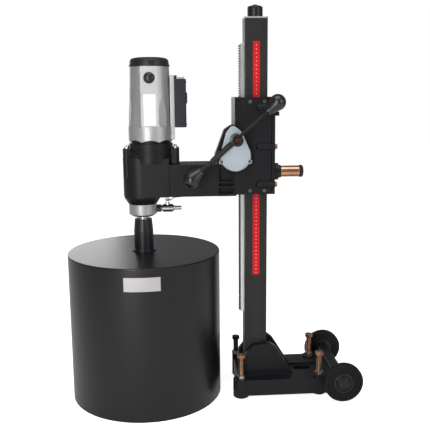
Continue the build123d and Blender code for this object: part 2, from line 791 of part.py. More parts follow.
with BuildPart() as carriage_casting:
    with BuildSketch(Plane.XY.offset(carriage_bottom)):
        with Locations(((carriage_front + carriage_split) / 2, 0)):
            RectangleRounded(carriage_split - carriage_front, carriage_depth, carriage_corner)
    extrude(amount=carriage_height)
    # root that carries the arm, with ribbed pockets in both sides
    with BuildSketch(Plane.XY.offset(root_bottom)):
        with Locations(((root_left + carriage_front + carriage_corner) / 2, 0)):
            Rectangle(carriage_front + carriage_corner - root_left, 2 * arm_half)
    extrude(amount=root_top - root_bottom)
    pocket_left = root_left + root_rib / 2
    pocket_right = carriage_front - root_rib
    for pocket_start in (arm_half, -arm_half + root_pocket_depth):
        with BuildSketch(front_plane(pocket_start)):
            with Locations(((pocket_left + pocket_right) / 2, (root_pocket_bottom + root_pocket_top) / 2)):
                Rectangle(pocket_right - pocket_left, root_pocket_top - root_pocket_bottom)
            for rib_height in root_rib_heights:
                with Locations((pocket_left, rib_height)):
                    Rectangle(2 * (pocket_right - pocket_left), root_rib, mode=Mode.SUBTRACT)
        extrude(amount=root_pocket_depth, mode=Mode.SUBTRACT)
    # barrel round the pinion and the boss behind the crank shaft
    with BuildSketch(front_plane(carriage_half)):
        with Locations(feed_spot):
            Circle(barrel_radius)
    extrude(amount=carriage_depth)
    with BuildSketch(front_plane(near_face + crank_boss_depth)):
        with Locations(crank_spot):
            Circle(crank_boss_radius)
    extrude(amount=crank_boss_depth)
    # bosses for the bolts of the rear plate
    for face_side in (-1, 1):
        for height in clamp_heights:
            boss_plane = side_plane(clamp_boss_start + clamp_boss_radius)
            with BuildSketch(boss_plane):
                with Locations((face_side * carriage_half, height)):
                    Circle(clamp_boss_radius)
            extrude(amount=carriage_split - clamp_boss_start - clamp_boss_radius)
            with Locations((clamp_boss_start + clamp_boss_radius, face_side * carriage_half, height)):
                Sphere(clamp_boss_radius)
    # square passage for the column and channel for the rack
    with BuildSketch(Plane.XY.offset(carriage_bottom - 1)):
        with Locations(((carriage_split + 1 - slide_half) / 2, 0)):
            Rectangle(carriage_split + 1 + slide_half, 2 * slide_half)
        with Locations(((rack_tip - rack_space) / 2, 0)):
            Rectangle(rack_space - rack_tip, rack_width + 2 * rack_space)
    extrude(amount=carriage_height + 2, mode=Mode.SUBTRACT)
    # space for the pinion, bearing bores and bolt holes
    with BuildSketch(front_plane(pinion_width / 2 + pinion_space)):
        with Locations(feed_spot):
            Circle(pinion_tip_radius + pinion_space)
    extrude(amount=pinion_width + 2 * pinion_space, mode=Mode.SUBTRACT)
    with BuildSketch(front_plane(carriage_half + 1)):
        with Locations(feed_spot):
            Circle(feed_bush_radius)
    extrude(amount=carriage_depth + 2, mode=Mode.SUBTRACT)
    with BuildSketch(front_plane(near_face + crank_boss_depth - 4)):
        with Locations(crank_spot):
            Circle(crank_shaft_radius + running_gap)
    extrude(amount=crank_boss_depth, mode=Mode.SUBTRACT)
    with BuildSketch(side_plane(carriage_split + 1)):
        for height in clamp_heights:
            with Locations((-clamp_line, height), (clamp_line, height)):
                Circle(clamp_bolt_radius)
    extrude(amount=-(carriage_split + 1 - clamp_boss_start - clamp_thread_start), mode=Mode.SUBTRACT)
    with BuildSketch(front_plane(carriage_half + 1)):
        for height in gib_heights:
            with Locations((-gib_offset, height), (gib_offset, height)):
                Circle(gib_screw_radius)
    extrude(amount=carriage_depth + 2, mode=Mode.SUBTRACT)
    # upright recess beside the front edge
    for recess_start in (near_face + edge_pocket_depth, carriage_half):
        with BuildSketch(front_plane(recess_start)):
            with Locations((edge_pocket_x, carriage_top - carriage_corner - edge_pocket_height / 2)):
                Rectangle(edge_pocket_width, edge_pocket_height)
        extrude(amount=edge_pocket_depth, mode=Mode.SUBTRACT)
save(carriage_casting, "carriage_casting")

with BuildPart() as carriage_rear_plate:
    with BuildSketch(Plane.XY.offset(carriage_bottom)):
        with Locations((carriage_split + rear_plate_thickness / 2, 0)):
            Rectangle(rear_plate_thickness, carriage_depth)
    extrude(amount=carriage_height)
    with BuildSketch(side_plane(carriage_split)):
        for height in clamp_heights:
            with Locations((-carriage_half, height), (carriage_half, height)):
                Circle(clamp_boss_radius)
    extrude(amount=rear_plate_thickness)
    with BuildSketch(side_plane(rear_plate_face)):
        with Locations((0, lock_height)):
            Circle(lock_boss_radius)
    extrude(amount=lock_boss_height)
    # travel stop
    with BuildSketch(side_plane(rear_plate_face)):
        with Locations((stop_offset, stop_height)):
            Circle(stop_radius)
    extrude(amount=stop_length)
    with BuildSketch(side_plane(carriage_split - 1)):
        for height in clamp_heights:
            with Locations((-clamp_line, height), (clamp_line, height)):
                Circle(clamp_bolt_radius)
        with Locations((0, lock_height)):
            Circle(lock_screw_radius + running_gap)
    extrude(amount=20, mode=Mode.SUBTRACT)
save(carriage_rear_plate, "carriage_rear_plate")

with BuildPart() as carriage_bolts:
    with BuildSketch(side_plane(clamp_tip)):
        for height in clamp_heights:
            with Locations((-clamp_line, height), (clamp_line, height)):
                Circle(clamp_bolt_radius)
    extrude(amount=rear_plate_face - clamp_tip)
    with BuildSketch(side_plane(rear_plate_face)):
        for height in clamp_heights:
            with Locations((-clamp_line, height), (clamp_line, height)):
                RegularPolygon(clamp_head_radius, 6)
    extrude(amount=clamp_head_height)
save(carriage_bolts, "carriage_bolts")

# Slide pads: two on every side of the column, at both ends of the carriage.
pad_thickness = slide_gap - pad_gap
pad_middle = column_half + pad_gap + pad_thickness / 2
rear_pad_thickness = carriage_split - column_half - pad_gap
with BuildPart() as slide_pads:
    for height in pad_spots:
        with BuildSketch(Plane.XY.offset(height - pad_height / 2)):
            for side in (-1, 1):
                with Locations((side * pad_offset, -pad_middle), (side * pad_offset, pad_middle)):
                    Rectangle(pad_width, pad_thickness)
                with Locations((-pad_middle, side * (pad_offset + 1))):
                    Rectangle(pad_thickness, pad_width)
                with Locations((column_half + pad_gap + rear_pad_thickness / 2, side * pad_offset)):
                    Rectangle(rear_pad_thickness, pad_width)
        extrude(amount=pad_height)
save(slide_pads, "slide_pads")

# Adjusting screws behind the pads, and the two screws of the gear cover.
gib_depth = carriage_half - slide_half
with BuildPart() as carriage_screws:
    for face_side in (-1, 1):
        wall_start = face_side * slide_half
        with BuildSketch(front_plane(wall_start)):
            for height in gib_heights:
                with Locations((-gib_offset, height), (gib_offset, height)):
                    Circle(gib_screw_radius)
        extrude(amount=-face_side * gib_depth)
        with BuildSketch(front_plane(face_side * carriage_half)):
            for height in gib_heights:
                with Locations((-gib_offset, height), (gib_offset, height)):
                    Circle(gib_head_radius)
                    RegularPolygon(gib_screw_radius * socket_share, 6, mode=Mode.SUBTRACT)
        extrude(amount=-face_side * gib_head_height)
    with BuildSketch(front_plane(cover_face + cover_thickness + 8)):
        with Locations(*ear_spots):
            Circle(cover_screw_radius)
    extrude(amount=cover_thickness + 8)
    with BuildSketch(front_plane(cover_face)):
        with Locations(*ear_spots):
            Circle(cover_screw_head_radius)
            RegularPolygon(cover_screw_radius * socket_share, 6, mode=Mode.SUBTRACT)
    extrude(amount=cover_screw_head_height)
save(carriage_screws, "carriage_screws")

with BuildPart() as feed_gear_case:
    with BuildSketch(front_plane(case_back_face)):
        gear_hull(case_corners, 0)
    extrude(amount=case_back_face - case_front)
    with BuildSketch(front_plane(case_back_face)):
        with Locations(*ear_spots):
            Circle(cover_ear_radius + ear_wall)
    extrude(amount=case_back_face - case_front)
    with BuildSketch(front_plane(case_back_face - case_back)):
        gear_hull(case_corners, case_wall)
    extrude(amount=case_back_face - case_front - case_back + 1, mode=Mode.SUBTRACT)
    with BuildSketch(front_plane(case_back_face - case_back)):
        with Locations(*ear_spots):
            Circle(cover_screw_radius + ear_wall)
    extrude(amount=case_back_face - case_front - case_back)
    with BuildSketch(front_plane(case_front + 8)):
        with Locations(*ear_spots):
            Circle(cover_screw_radius)
    extrude(amount=9, mode=Mode.SUBTRACT)
    with BuildSketch(front_plane(case_back_face + 1)):
        with Locations(feed_spot):
            Circle(feed_shaft_radius + free_gap)
        with Locations(crank_spot):
            Circle(crank_shaft_radius + running_gap)
    extrude(amount=case_back + 2, mode=Mode.SUBTRACT)
save(feed_gear_case, "feed_gear_case")

with BuildPart() as feed_gear_cover:
    with BuildSketch(front_plane(case_front)):
        gear_hull(cover_corners, 0)
    extrude(amount=cover_thickness)
    with BuildSketch(front_plane(case_front)):
        with Locations(*ear_spots):
            Circle(cover_ear_radius)
    extrude(amount=cover_thickness)
    with BuildSketch(front_plane(case_front + 1)):
        with Locations(*ear_spots):
            Circle(cover_screw_radius)
        with Locations(crank_spot):
            Circle(crank_shaft_radius + running_gap)
    extrude(amount=cover_thickness + 2, mode=Mode.SUBTRACT)
save(feed_gear_cover, "feed_gear_cover")

# Bushes of the pinion shaft, one at each end of its barrel.
bush_length = carriage_half - pinion_width / 2 - pinion_space
with BuildPart() as feed_bushes:
    for bush_start in (carriage_half, -carriage_half + bush_length):
        with BuildSketch(front_plane(bush_start)):
            with Locations(feed_spot):
                Circle(feed_bush_radius)
                Circle(feed_shaft_radius + running_gap, mode=Mode.SUBTRACT)
        extrude(amount=bush_length)
save(feed_bushes, "feed_bushes")

pinion_outline = gear_outline(pinion_teeth, rack_module, rack_pressure_angle, 0.95, 0)
feed_gear_outline = gear_outline(feed_gear_teeth, feed_module, feed_pressure_angle, stub_addendum, 90)
crank_gear_outline = gear_outline(
    crank_gear_teeth, feed_module, feed_pressure_angle, stub_addendum, -90 + 180 / crank_gear_teeth
)
feed_gear_start = case_back_face - case_back - free_gap
with BuildPart() as feed_pinion:
    with BuildSketch(front_plane(carriage_half)):
        with Locations(feed_spot):
            Circle(feed_shaft_radius)
    extrude(amount=carriage_half - feed_gear_start + feed_gear_width + 1)
    with BuildSketch(front_plane(pinion_width / 2)):
        with BuildLine():
            Polyline(*shift(pinion_outline, feed_x, feed_height), close=True)
        make_face()
    extrude(amount=pinion_width)
save(feed_pinion, "feed_pinion")

with BuildPart() as feed_gear:
    with BuildSketch(front_plane(feed_gear_start)):
        with BuildLine():
            Polyline(*shift(feed_gear_outline, feed_x, feed_height), close=True)
        make_face()
        with Locations(feed_spot):
            Circle(feed_shaft_radius, mode=Mode.SUBTRACT)
            with PolarLocations(20, 6):
                Circle(4, mode=Mode.SUBTRACT)
    extrude(amount=feed_gear_width)
save(feed_gear, "feed_gear")

crank_shaft_back = near_face + crank_boss_depth - 4 - 1
with BuildPart() as crank_shaft:
    with BuildSketch(front_plane(crank_shaft_back)):
        with Locations(crank_spot):
            Circle(crank_shaft_radius)
    extrude(amount=crank_shaft_back - hub_front - hub_recess_depth)
    with BuildSketch(front_plane(feed_gear_start)):
        with BuildLine():
            Polyline(*shift(crank_gear_outline, feed_x, crank_height), close=True)
        make_face()
    extrude(amount=crank_gear_width)
save(crank_shaft, "crank_shaft")

# The crank bar lies across the hub. Its two halves differ: a plain long rod with
# a thick sleeve below, and a shorter rod above.
bar_across = cos(radians(bar_angle))
bar_up = sin(radians(bar_angle))
bar_axis = Vector(bar_across, 0, bar_up)
bar_centre = Vector(feed_x, bar_plane, crank_height)


def bar_frame(distance, direction):
    """A plane across the bar at a signed distance from the hub, facing outwards."""
    return Plane(origin=bar_centre + bar_axis * distance, z_dir=bar_axis * direction)


with BuildPart() as crank_bar:
    with BuildSketch(front_plane(hub_back)):
        with Locations(crank_spot):
            Circle(hub_radius)
    extrude(amount=hub_back - hub_front)
    fillet(crank_bar.faces().sort_by(Axis.Y)[0].edges(), radius=hub_round)
    with BuildSketch(bar_frame(-(long_reach - ball_neck_length), -1)):
        Circle(lower_rod_radius)
    extrude(amount=-(long_reach - ball_neck_length))
    with BuildSketch(bar_frame(0, -1)):
        Circle(sleeve_radius)
    extrude(amount=sleeve_end)
    with BuildSketch(bar_frame(0, 1)):
        Circle(upper_rod_radius)
    extrude(amount=short_reach - ball_neck_length)
    with BuildSketch(front_plane(hub_front + hub_recess_depth)):
        with Locations(crank_spot):
            Circle(hub_recess_radius)
    extrude(amount=hub_recess_depth, mode=Mode.SUBTRACT)
    with BuildSketch(front_plane(hub_back)):
        with Locations(crank_spot):
            Circle(crank_shaft_radius)
    extrude(amount=hub_back - hub_front, mode=Mode.SUBTRACT)
save(crank_bar, "crank_bar")

with BuildPart() as crank_knobs:
    for reach, direction in ((short_reach, 1), (long_reach, -1)):
        neck_plane = bar_frame(direction * (reach - ball_neck_length), direction)
        join_reach = reach - ball_join
        with BuildSketch(neck_plane):
            Circle(ball_neck_radius)
        with BuildSketch(bar_frame(direction * join_reach, direction)):
            Circle(sqrt(ball_radius**2 - ball_join**2) - loft_inset)
        loft()
        ball_centre = bar_centre + bar_axis * (direction * reach)
        with Locations(ball_centre):
            Sphere(ball_radius)
save(crank_knobs, "crank_knobs")

lock_tip = column_half + lock_tip_gap
lock_flange_start = rear_plate_face + lock_boss_height + free_gap
with BuildPart() as lock_screw:
    with BuildSketch(side_plane(lock_tip)):
        with Locations((0, lock_height)):
            Circle(lock_screw_radius)
    extrude(amount=lock_cap_end - 6 - lock_tip)
    with BuildSketch(side_plane(lock_flange_start)):
        with Locations((0, lock_height)):
            Circle(lock_flange_radius)
            with PolarLocations(lock_flange_radius + 2, 6):
                Circle(5, mode=Mode.SUBTRACT)
    extrude(amount=lock_flange_thickness)
    with BuildSketch(side_plane(lock_flange_start + lock_flange_thickness)):
        with Locations((0, lock_height)):
            Circle(lock_collar_radius)
    extrude(amount=lock_grip_start - lock_flange_start - lock_flange_thickness)
    with BuildSketch(side_plane(lock_grip_end)):
        with Locations((0, lock_height)):
            Circle(lock_grip_radius + 1)
    extrude(amount=lock_cap_end - lock_grip_end)
    fillet(lock_screw.faces().sort_by(Axis.X)[-1].edges(), radius=5)
save(lock_screw, "lock_screw")

with BuildPart() as lock_grip:
    with BuildSketch(side_plane(lock_grip_start)):
        with Locations((0, lock_height)):
            Circle(lock_grip_radius)
            Circle(lock_screw_radius, mode=Mode.SUBTRACT)
    extrude(amount=lock_grip_end - lock_grip_start)
save(lock_grip, "lock_grip")

with BuildPart() as arm:
    with BuildSketch(front_plane(arm_half)):
        with Locations(((bracket_right + root_left) / 2, (root_bottom + root_top) / 2)):
            Rectangle(root_left - bracket_right, root_top - root_bottom)
    extrude(amount=2 * arm_half)
    arm_long_edges = arm.edges().filter_by(Axis.X)
    fillet(arm_long_edges, radius=3)
    with BuildSketch(side_plane(bracket_right + 12)):
        with Locations((0, (root_bottom + root_top) / 2)):
            Rectangle(2 * arm_half - 20, root_top - root_bottom - 20)
    extrude(amount=root_left - bracket_right - 24, mode=Mode.SUBTRACT)
    for panel_start in (arm_half, -arm_half + 1.5):
        with BuildSketch(front_plane(panel_start)):
            with Locations(((bracket_right + root_left) / 2 - 3, (root_bottom + root_top) / 2)):
                Rectangle(root_left - bracket_right, root_top - root_bottom - 16)
        extrude(amount=1.5, mode=Mode.SUBTRACT)
save(arm, "arm")


# ============================================================= drill and motor


def around_motor(distance, angle):
    """A spot at a distance and an angle in degrees from the motor's axis."""
    return (motor_x + distance * cos(radians(angle)), distance * sin(radians(angle)))


lug_spots = [around_motor(lug_distance, angle) for angle in lug_angles]
lug_roots = [around_motor(lug_distance - lug_root, angle) for angle in lug_angles]
layshaft_spot = (layshaft_x, layshaft_y)
motor_spot = (motor_x, 0)
spindle_spot = (spindle_x, 0)


def body_outline(radius, half_width, right_end):
    """Draw the gear case's plan: a round nose about the spindle and a straight tail."""
    with Locations(spindle_spot):
        Circle(radius)
    with Locations(((spindle_x + right_end) / 2, 0)):
        Rectangle(right_end - spindle_x, 2 * half_width)


with BuildPart() as gearbox_housing:
    with BuildSketch(Plane.XZ):
        with BuildLine():
            Polyline(
                (spindle_x, cone_bottom),
                (spindle_x - cone_radius, cone_bottom),
                (spindle_x - body_radius + nose_step, body_bottom),
                (spindle_x - body_radius, root_bottom),
                (spindle_x - body_radius, body_top),
                (spindle_x, body_top),
                close=True,
            )
        make_face()
    revolve(axis=Axis((spindle_x, 0, 0), (0, 0, 1)))
    with BuildSketch(Plane.XY.offset(root_bottom)):
        with Locations(((spindle_x + bracket_left) / 2, 0)):
            Rectangle(bracket_left - spindle_x, 2 * body_radius - 0.2)
    extrude(amount=body_top - root_bottom - 1)
    # grooved round neck below the motor, and the shoulder that leads to it
    neck_bottom = root_top + 4
    with BuildSketch(Plane.XY.offset(neck_bottom)):
        with Locations(motor_spot):
            Circle(neck_radius - band_groove_depth)
    extrude(amount=neck_top - neck_bottom)
    band_edges = [neck_bottom, *band_groove_heights, neck_top]
    for band_bottom, band_top in zip(band_edges, band_edges[1:]):
        with BuildSketch(Plane.XY.offset(band_bottom)):
            with Locations(motor_spot):
                Circle(neck_radius)
        extrude(amount=band_top - band_bottom - (band_groove_width if band_top < neck_top else 0))
    with BuildSketch(Plane.XY.offset(body_top - 7)):
        with Locations(spindle_spot):
            Circle(body_radius - 0.6)
    with BuildSketch(Plane.XY.offset(neck_top - 3)):
        with Locations((motor_x - shoulder_shift, 0)):
            Circle(neck_radius - shoulder_shift)
    loft()
    # lugs for the long bolts
    for spot, root_spot, lug_bottom in zip(lug_spots, lug_roots, lug_bottoms):
        with BuildSketch(Plane.XY.offset(lug_bottom)):
            with Locations(spot, root_spot):
                Circle(lug_radius)
        extrude(amount=lug_top - lug_bottom)
    # gear spaces
    with BuildSketch(Plane.XY.offset(cavity_floor)):
        body_outline(cavity_radius, cavity_radius, bracket_left - 15)
    extrude(amount=body_top - 4 - cavity_floor, mode=Mode.SUBTRACT)
    with BuildSketch(Plane.XY.offset(body_top - 4)):
        with Locations(motor_spot):
            Circle(upper_cavity_radius)
    extrude(amount=neck_top - body_top + 4, mode=Mode.SUBTRACT)
    # spindle bearings, shaft passage, layshaft bush and bolt holes
    with BuildSketch(Plane.XY.offset(cone_bottom)):
        with Locations(spindle_spot):
            Circle(bearing_bore)
    extrude(amount=web_bottom - cone_bottom, mode=Mode.SUBTRACT)
    with BuildSketch(Plane.XY.offset(web_bottom)):
        with Locations(spindle_spot):
            Circle(spindle_radius + 1)
    extrude(amount=cavity_floor - web_bottom, mode=Mode.SUBTRACT)
    with BuildSketch(Plane.XY.offset(cavity_floor - layshaft_bush_length)):
        with Locations(layshaft_spot):
            Circle(layshaft_bush_radius)
    extrude(amount=layshaft_bush_length, mode=Mode.SUBTRACT)
    for spot, lug_bottom in zip(lug_spots, lug_bottoms):
        with BuildSketch(Plane.XY.offset(lug_bottom + lug_floor)):
            with Locations(spot):
                Circle(lug_bolt_radius)
        extrude(amount=lug_top - lug_bottom, mode=Mode.SUBTRACT)
save(gearbox_housing, "gearbox_housing")

with BuildPart() as gearbox_plate:
    with BuildSketch(Plane.XY.offset(neck_top)):
        with Locations(motor_spot):
            Circle(neck_radius)
            Circle(rotor_bearing_radius, mode=Mode.SUBTRACT)
        with Locations(layshaft_spot):
            Circle(layshaft_bush_radius, mode=Mode.SUBTRACT)
    extrude(amount=plate_thickness)
    with BuildSketch(Plane.XY.offset(plate_top)):
        with Locations(motor_spot):
            Circle(ring_bore)
            Circle(ring_bore - spigot_wall, mode=Mode.SUBTRACT)
    extrude(amount=spigot_height)
save(gearbox_plate, "gearbox_plate")

with BuildPart() as gearbox_bolts:
    for spot, lug_bottom in zip(lug_spots, lug_bottoms):
        with BuildSketch(Plane.XY.offset(lug_bottom + lug_floor)):
            with Locations(spot):
                Circle(lug_bolt_radius)
        extrude(amount=lug_top - lug_bottom - lug_floor)
    with BuildSketch(Plane.XY.offset(lug_top)):
        with Locations(*lug_spots):
            Circle(lug_head_radius)
            RegularPolygon(lug_bolt_radius * socket_share, 6, mode=Mode.SUBTRACT)
    extrude(amount=lug_head_height)
save(gearbox_bolts, "gearbox_bolts")

# Ball bearings and bushes: top and bottom of the rotor, layshaft and spindle.
cap_underside = motor_top + cap_height - cap_wall
top_bearing_bottom = cap_underside - 6 - top_bearing_width
bearing_list = [
    (motor_spot, top_bearing_bottom, top_bearing_width, top_bearing_radius, rotor_radius),
    (motor_spot, neck_top, plate_thickness, rotor_bearing_radius, rotor_radius),
    (layshaft_spot, neck_top, plate_thickness, layshaft_bush_radius, layshaft_radius),
    (
        layshaft_spot,
        cavity_floor - layshaft_bush_length,
        layshaft_bush_length,
        layshaft_bush_radius,
        layshaft_radius,
    ),
    (spindle_spot, web_bottom - spindle_bearing_width, spindle_bearing_width, bearing_bore, spindle_radius),
    (spindle_spot, cone_bottom + 8, spindle_bearing_width, bearing_bore, spindle_radius),
]
with BuildPart() as bearings:
    for spot, bottom, width, outer, shaft in bearing_list:
        with BuildSketch(Plane.XY.offset(bottom)):
            with Locations(spot):
                Circle(outer)
                Circle(shaft + bearing_gap, mode=Mode.SUBTRACT)
        extrude(amount=width)
save(bearings, "bearings")

with BuildPart() as motor_ring:
    with BuildSketch(Plane.XY.offset(ring_bottom - scallop_depth)):
        with Locations(motor_spot):
            Circle(ring_radius)
            Circle(ring_bore, mode=Mode.SUBTRACT)
    extrude(amount=ring_height + scallop_depth)
    for scallop in range(scallop_count):
        scallop_angle = 360 * scallop / scallop_count
        scallop_plane = Plane(
            origin=(motor_x, 0, ring_bottom - scallop_radius),
            x_dir=(-sin(radians(scallop_angle)), cos(radians(scallop_angle)), 0),
            z_dir=(cos(radians(scallop_angle)), sin(radians(scallop_angle)), 0),
        )
        with BuildSketch(scallop_plane):
            Circle(scallop_radius)
        extrude(amount=ring_radius + cut_over, mode=Mode.SUBTRACT)
save(motor_ring, "motor_ring")

with BuildPart() as motor_shell:
    with BuildSketch(Plane.XY.offset(motor_bottom)):
        with Locations(motor_spot):
            Circle(motor_radius)
    extrude(amount=motor_length, taper=motor_taper)
    # flat facets between shallow ribs
    for facet in range(facet_count):
        facet_angle = 360 * (facet + 0.5) / facet_count
        facet_plane = Plane(
            origin=(motor_x, 0, motor_bottom - cut_over),
            x_dir=(cos(radians(facet_angle)), sin(radians(facet_angle)), 0),
            z_dir=(0, 0, 1),
        )
        with BuildSketch(facet_plane):
            with Locations((motor_radius - facet_depth + facet_width / 2, 0)):
                Rectangle(facet_width, facet_width)
        extrude(amount=motor_length + 2 * cut_over, mode=Mode.SUBTRACT)
    # flat panels front and back, with proud upright edges
    for side in (-1, 1):
        with BuildSketch(Plane.XY.offset(motor_bottom - cut_over)):
            with Locations((motor_x, side * (panel_face + motor_radius / 2))):
                Rectangle(panel_width, motor_radius)
        extrude(amount=motor_length + 2 * cut_over, mode=Mode.SUBTRACT)
    with BuildSketch(Plane.XY.offset(motor_bottom)):
        with Locations(motor_spot):
            Rectangle(panel_width, 2 * panel_face)
    extrude(amount=motor_length)
    with BuildSketch(Plane.XY.offset(motor_bottom)):
        with Locations(motor_spot):
            Circle(motor_bore)
    extrude(amount=motor_length, mode=Mode.SUBTRACT)
    with BuildSketch(front_plane(motor_radius + 1)):
        with Locations((motor_x, brush_height)):
            Circle(brush_radius)
    extrude(amount=2 * motor_radius + 2, mode=Mode.SUBTRACT)
save(motor_shell, "motor_shell")

with BuildPart() as motor_cap:
    with BuildSketch(Plane.XZ):
        with BuildLine():
            Polyline(
                (motor_x, motor_top),
                (motor_x + cap_lip_radius, motor_top),
                (motor_x + cap_lip_radius, motor_top + cap_lip_height),
                (motor_x + cap_side_radius, motor_top + cap_lip_height + 1),
                (motor_x + cap_shoulder_radius, motor_top + cap_shoulder_height),
                (motor_x + cap_dome_radius, motor_top + cap_dome_height),
                (motor_x + cap_flat_radius, motor_top + cap_height - 0.5),
                (motor_x, motor_top + cap_height),
                close=True,
            )
        make_face()
    revolve(axis=Axis((motor_x, 0, 0), (0, 0, 1)))
    with BuildSketch(Plane.XY.offset(motor_top)):
        with Locations(motor_spot):
            Circle(cap_bore)
    extrude(amount=cap_height - cap_wall, mode=Mode.SUBTRACT)
    with BuildSketch(Plane.XY.offset(top_bearing_bottom)):
        with Locations(motor_spot):
            Circle(top_bearing_radius + bearing_seat_wall)
            Circle(top_bearing_radius, mode=Mode.SUBTRACT)
    extrude(amount=cap_underside - top_bearing_bottom)
save(motor_cap, "motor_cap")

with BuildPart() as motor_label:
    with BuildSketch(front_plane(-panel_face)):
        with Locations((motor_x, motor_bottom + motor_label_rise + motor_label_height / 2)):
            RectangleRounded(motor_label_width, motor_label_height, label_corner)
    extrude(amount=motor_label_thickness)
save(motor_label, "motor_label")

with BuildPart() as stator:
    with BuildSketch(Plane.XY.offset(stator_bottom)):
        with Locations(motor_spot):
            Circle(motor_bore)
            Circle(stator_bore, mode=Mode.SUBTRACT)
    extrude(amount=stator_height)
    for coil_bottom in (stator_bottom - coil_height, stator_bottom + stator_height):
        with BuildSketch(Plane.XY.offset(coil_bottom)):
            with Locations(motor_spot):
                Circle(motor_bore - coil_gap)
                Circle(stator_bore + coil_wall, mode=Mode.SUBTRACT)
        extrude(amount=coil_height)
save(stator, "stator")

with BuildPart() as brush_holders:
    for side in (-1, 1):
        with BuildSketch(front_plane(side * (commutator_radius + 0.3))):
            with Locations((motor_x, brush_height)):
                Circle(brush_radius)
        extrude(amount=-side * (motor_bore - commutator_radius - 0.3))
save(brush_holders, "brush_holders")

with BuildPart() as brush_caps:
    for side in (-1, 1):
        with BuildSketch(front_plane(side * motor_bore)):
            with Locations((motor_x, brush_height)):
                Circle(brush_radius)
        extrude(amount=-side * (panel_face - motor_bore))
        with BuildSketch(front_plane(side * panel_face)):
            with Locations((motor_x, brush_height)):
                Circle(brush_cap_radius)
        extrude(amount=-side * brush_cap_height)
    cap_rims = brush_caps.edges().filter_by(GeomType.CIRCLE).group_by(Axis.Y)
    fillet(cap_rims[0] + cap_rims[-1], radius=3)
save(brush_caps, "brush_caps")

with BuildPart() as armature:
    with BuildSketch(Plane.XY.offset(neck_top)):
        with Locations(motor_spot):
            Circle(rotor_radius)
    extrude(amount=top_bearing_bottom + top_bearing_width + 1 - neck_top)
    rotor_outline = gear_outline(
        rotor_teeth, rotor_module, drill_pressure_angle, stub_addendum,
        degrees(atan2(layshaft_y, layshaft_x - motor_x)),
    )
    with BuildSketch(Plane.XY.offset(rotor_gear_bottom)):
        with BuildLine():
            Polyline(*shift(rotor_outline, motor_x, 0), close=True)
        make_face()
    extrude(amount=neck_top - rotor_gear_bottom)
    for bottom, top, radius in rotor_drums:
        with BuildSketch(Plane.XY.offset(bottom)):
            with Locations(motor_spot):
                Circle(radius)
        extrude(amount=top - bottom)
    with BuildSketch(Plane.XY.offset(fan_top)):
        with Locations(motor_spot):
            with PolarLocations(fan_blade_middle, fan_blades):
                Rectangle(fan_blade_length, fan_blade_thickness)
    extrude(amount=fan_blade_height)
save(armature, "armature")

layshaft_to_rotor = degrees(atan2(-layshaft_y, motor_x - layshaft_x))
layshaft_to_spindle = degrees(atan2(-layshaft_y, spindle_x - layshaft_x))
with BuildPart() as intermediate_gear:
    large_outline = gear_outline(
        layshaft_gear_teeth, rotor_module, drill_pressure_angle, stub_addendum,
        layshaft_to_rotor + 180 / layshaft_gear_teeth,
    )
    small_outline = gear_outline(
        layshaft_pinion_teeth, spindle_module, drill_pressure_angle, stub_addendum,
        layshaft_to_spindle + 180 / layshaft_pinion_teeth,
    )
    with BuildSketch(Plane.XY.offset(rotor_gear_bottom)):
        with BuildLine():
            Polyline(*shift(large_outline, layshaft_x, layshaft_y), close=True)
        make_face()
    extrude(amount=rotor_gear_width)
    with BuildSketch(Plane.XY.offset(spindle_gear_bottom - 1)):
        with BuildLine():
            Polyline(*shift(small_outline, layshaft_x, layshaft_y), close=True)
        make_face()
    extrude(amount=spindle_gear_width + 2)
    with BuildSketch(Plane.XY.offset(cavity_floor - layshaft_bush_length + 1)):
        with Locations(layshaft_spot):
            Circle(layshaft_radius)
    extrude(amount=plate_top - 1 - cavity_floor + layshaft_bush_length - 1)
save(intermediate_gear, "intermediate_gear")

spindle_top = spindle_gear_bottom + spindle_gear_width + 2
spindle_bottom = adapter_top - adapter_overlap
spindle_to_layshaft = degrees(atan2(layshaft_y, layshaft_x - spindle_x))
with BuildPart() as spindle:
    with BuildSketch(Plane.XY.offset(spindle_bottom)):
        with Locations(spindle_spot):
            Circle(spindle_radius)
    extrude(amount=spindle_top - spindle_bottom)
    spindle_outline = gear_outline(
        spindle_gear_teeth, spindle_module, drill_pressure_angle, stub_addendum, spindle_to_layshaft
    )
    with BuildSketch(Plane.XY.offset(spindle_gear_bottom)):
        with BuildLine():
            Polyline(*shift(spindle_outline, spindle_x, 0), close=True)
        make_face()
    extrude(amount=spindle_gear_width)
    with BuildSketch(Plane.XY.offset(spindle_bottom)):
        with Locations(spindle_spot):
            Circle(water_bore + 1)
    extrude(amount=water_height + 6 - spindle_bottom, mode=Mode.SUBTRACT)
    with BuildSketch(side_plane(spindle_x)):
        with Locations((0, water_height)):
            Circle(water_bore)
    extrude(amount=spindle_radius + 1, both=True, mode=Mode.SUBTRACT)
save(spindle, "spindle")

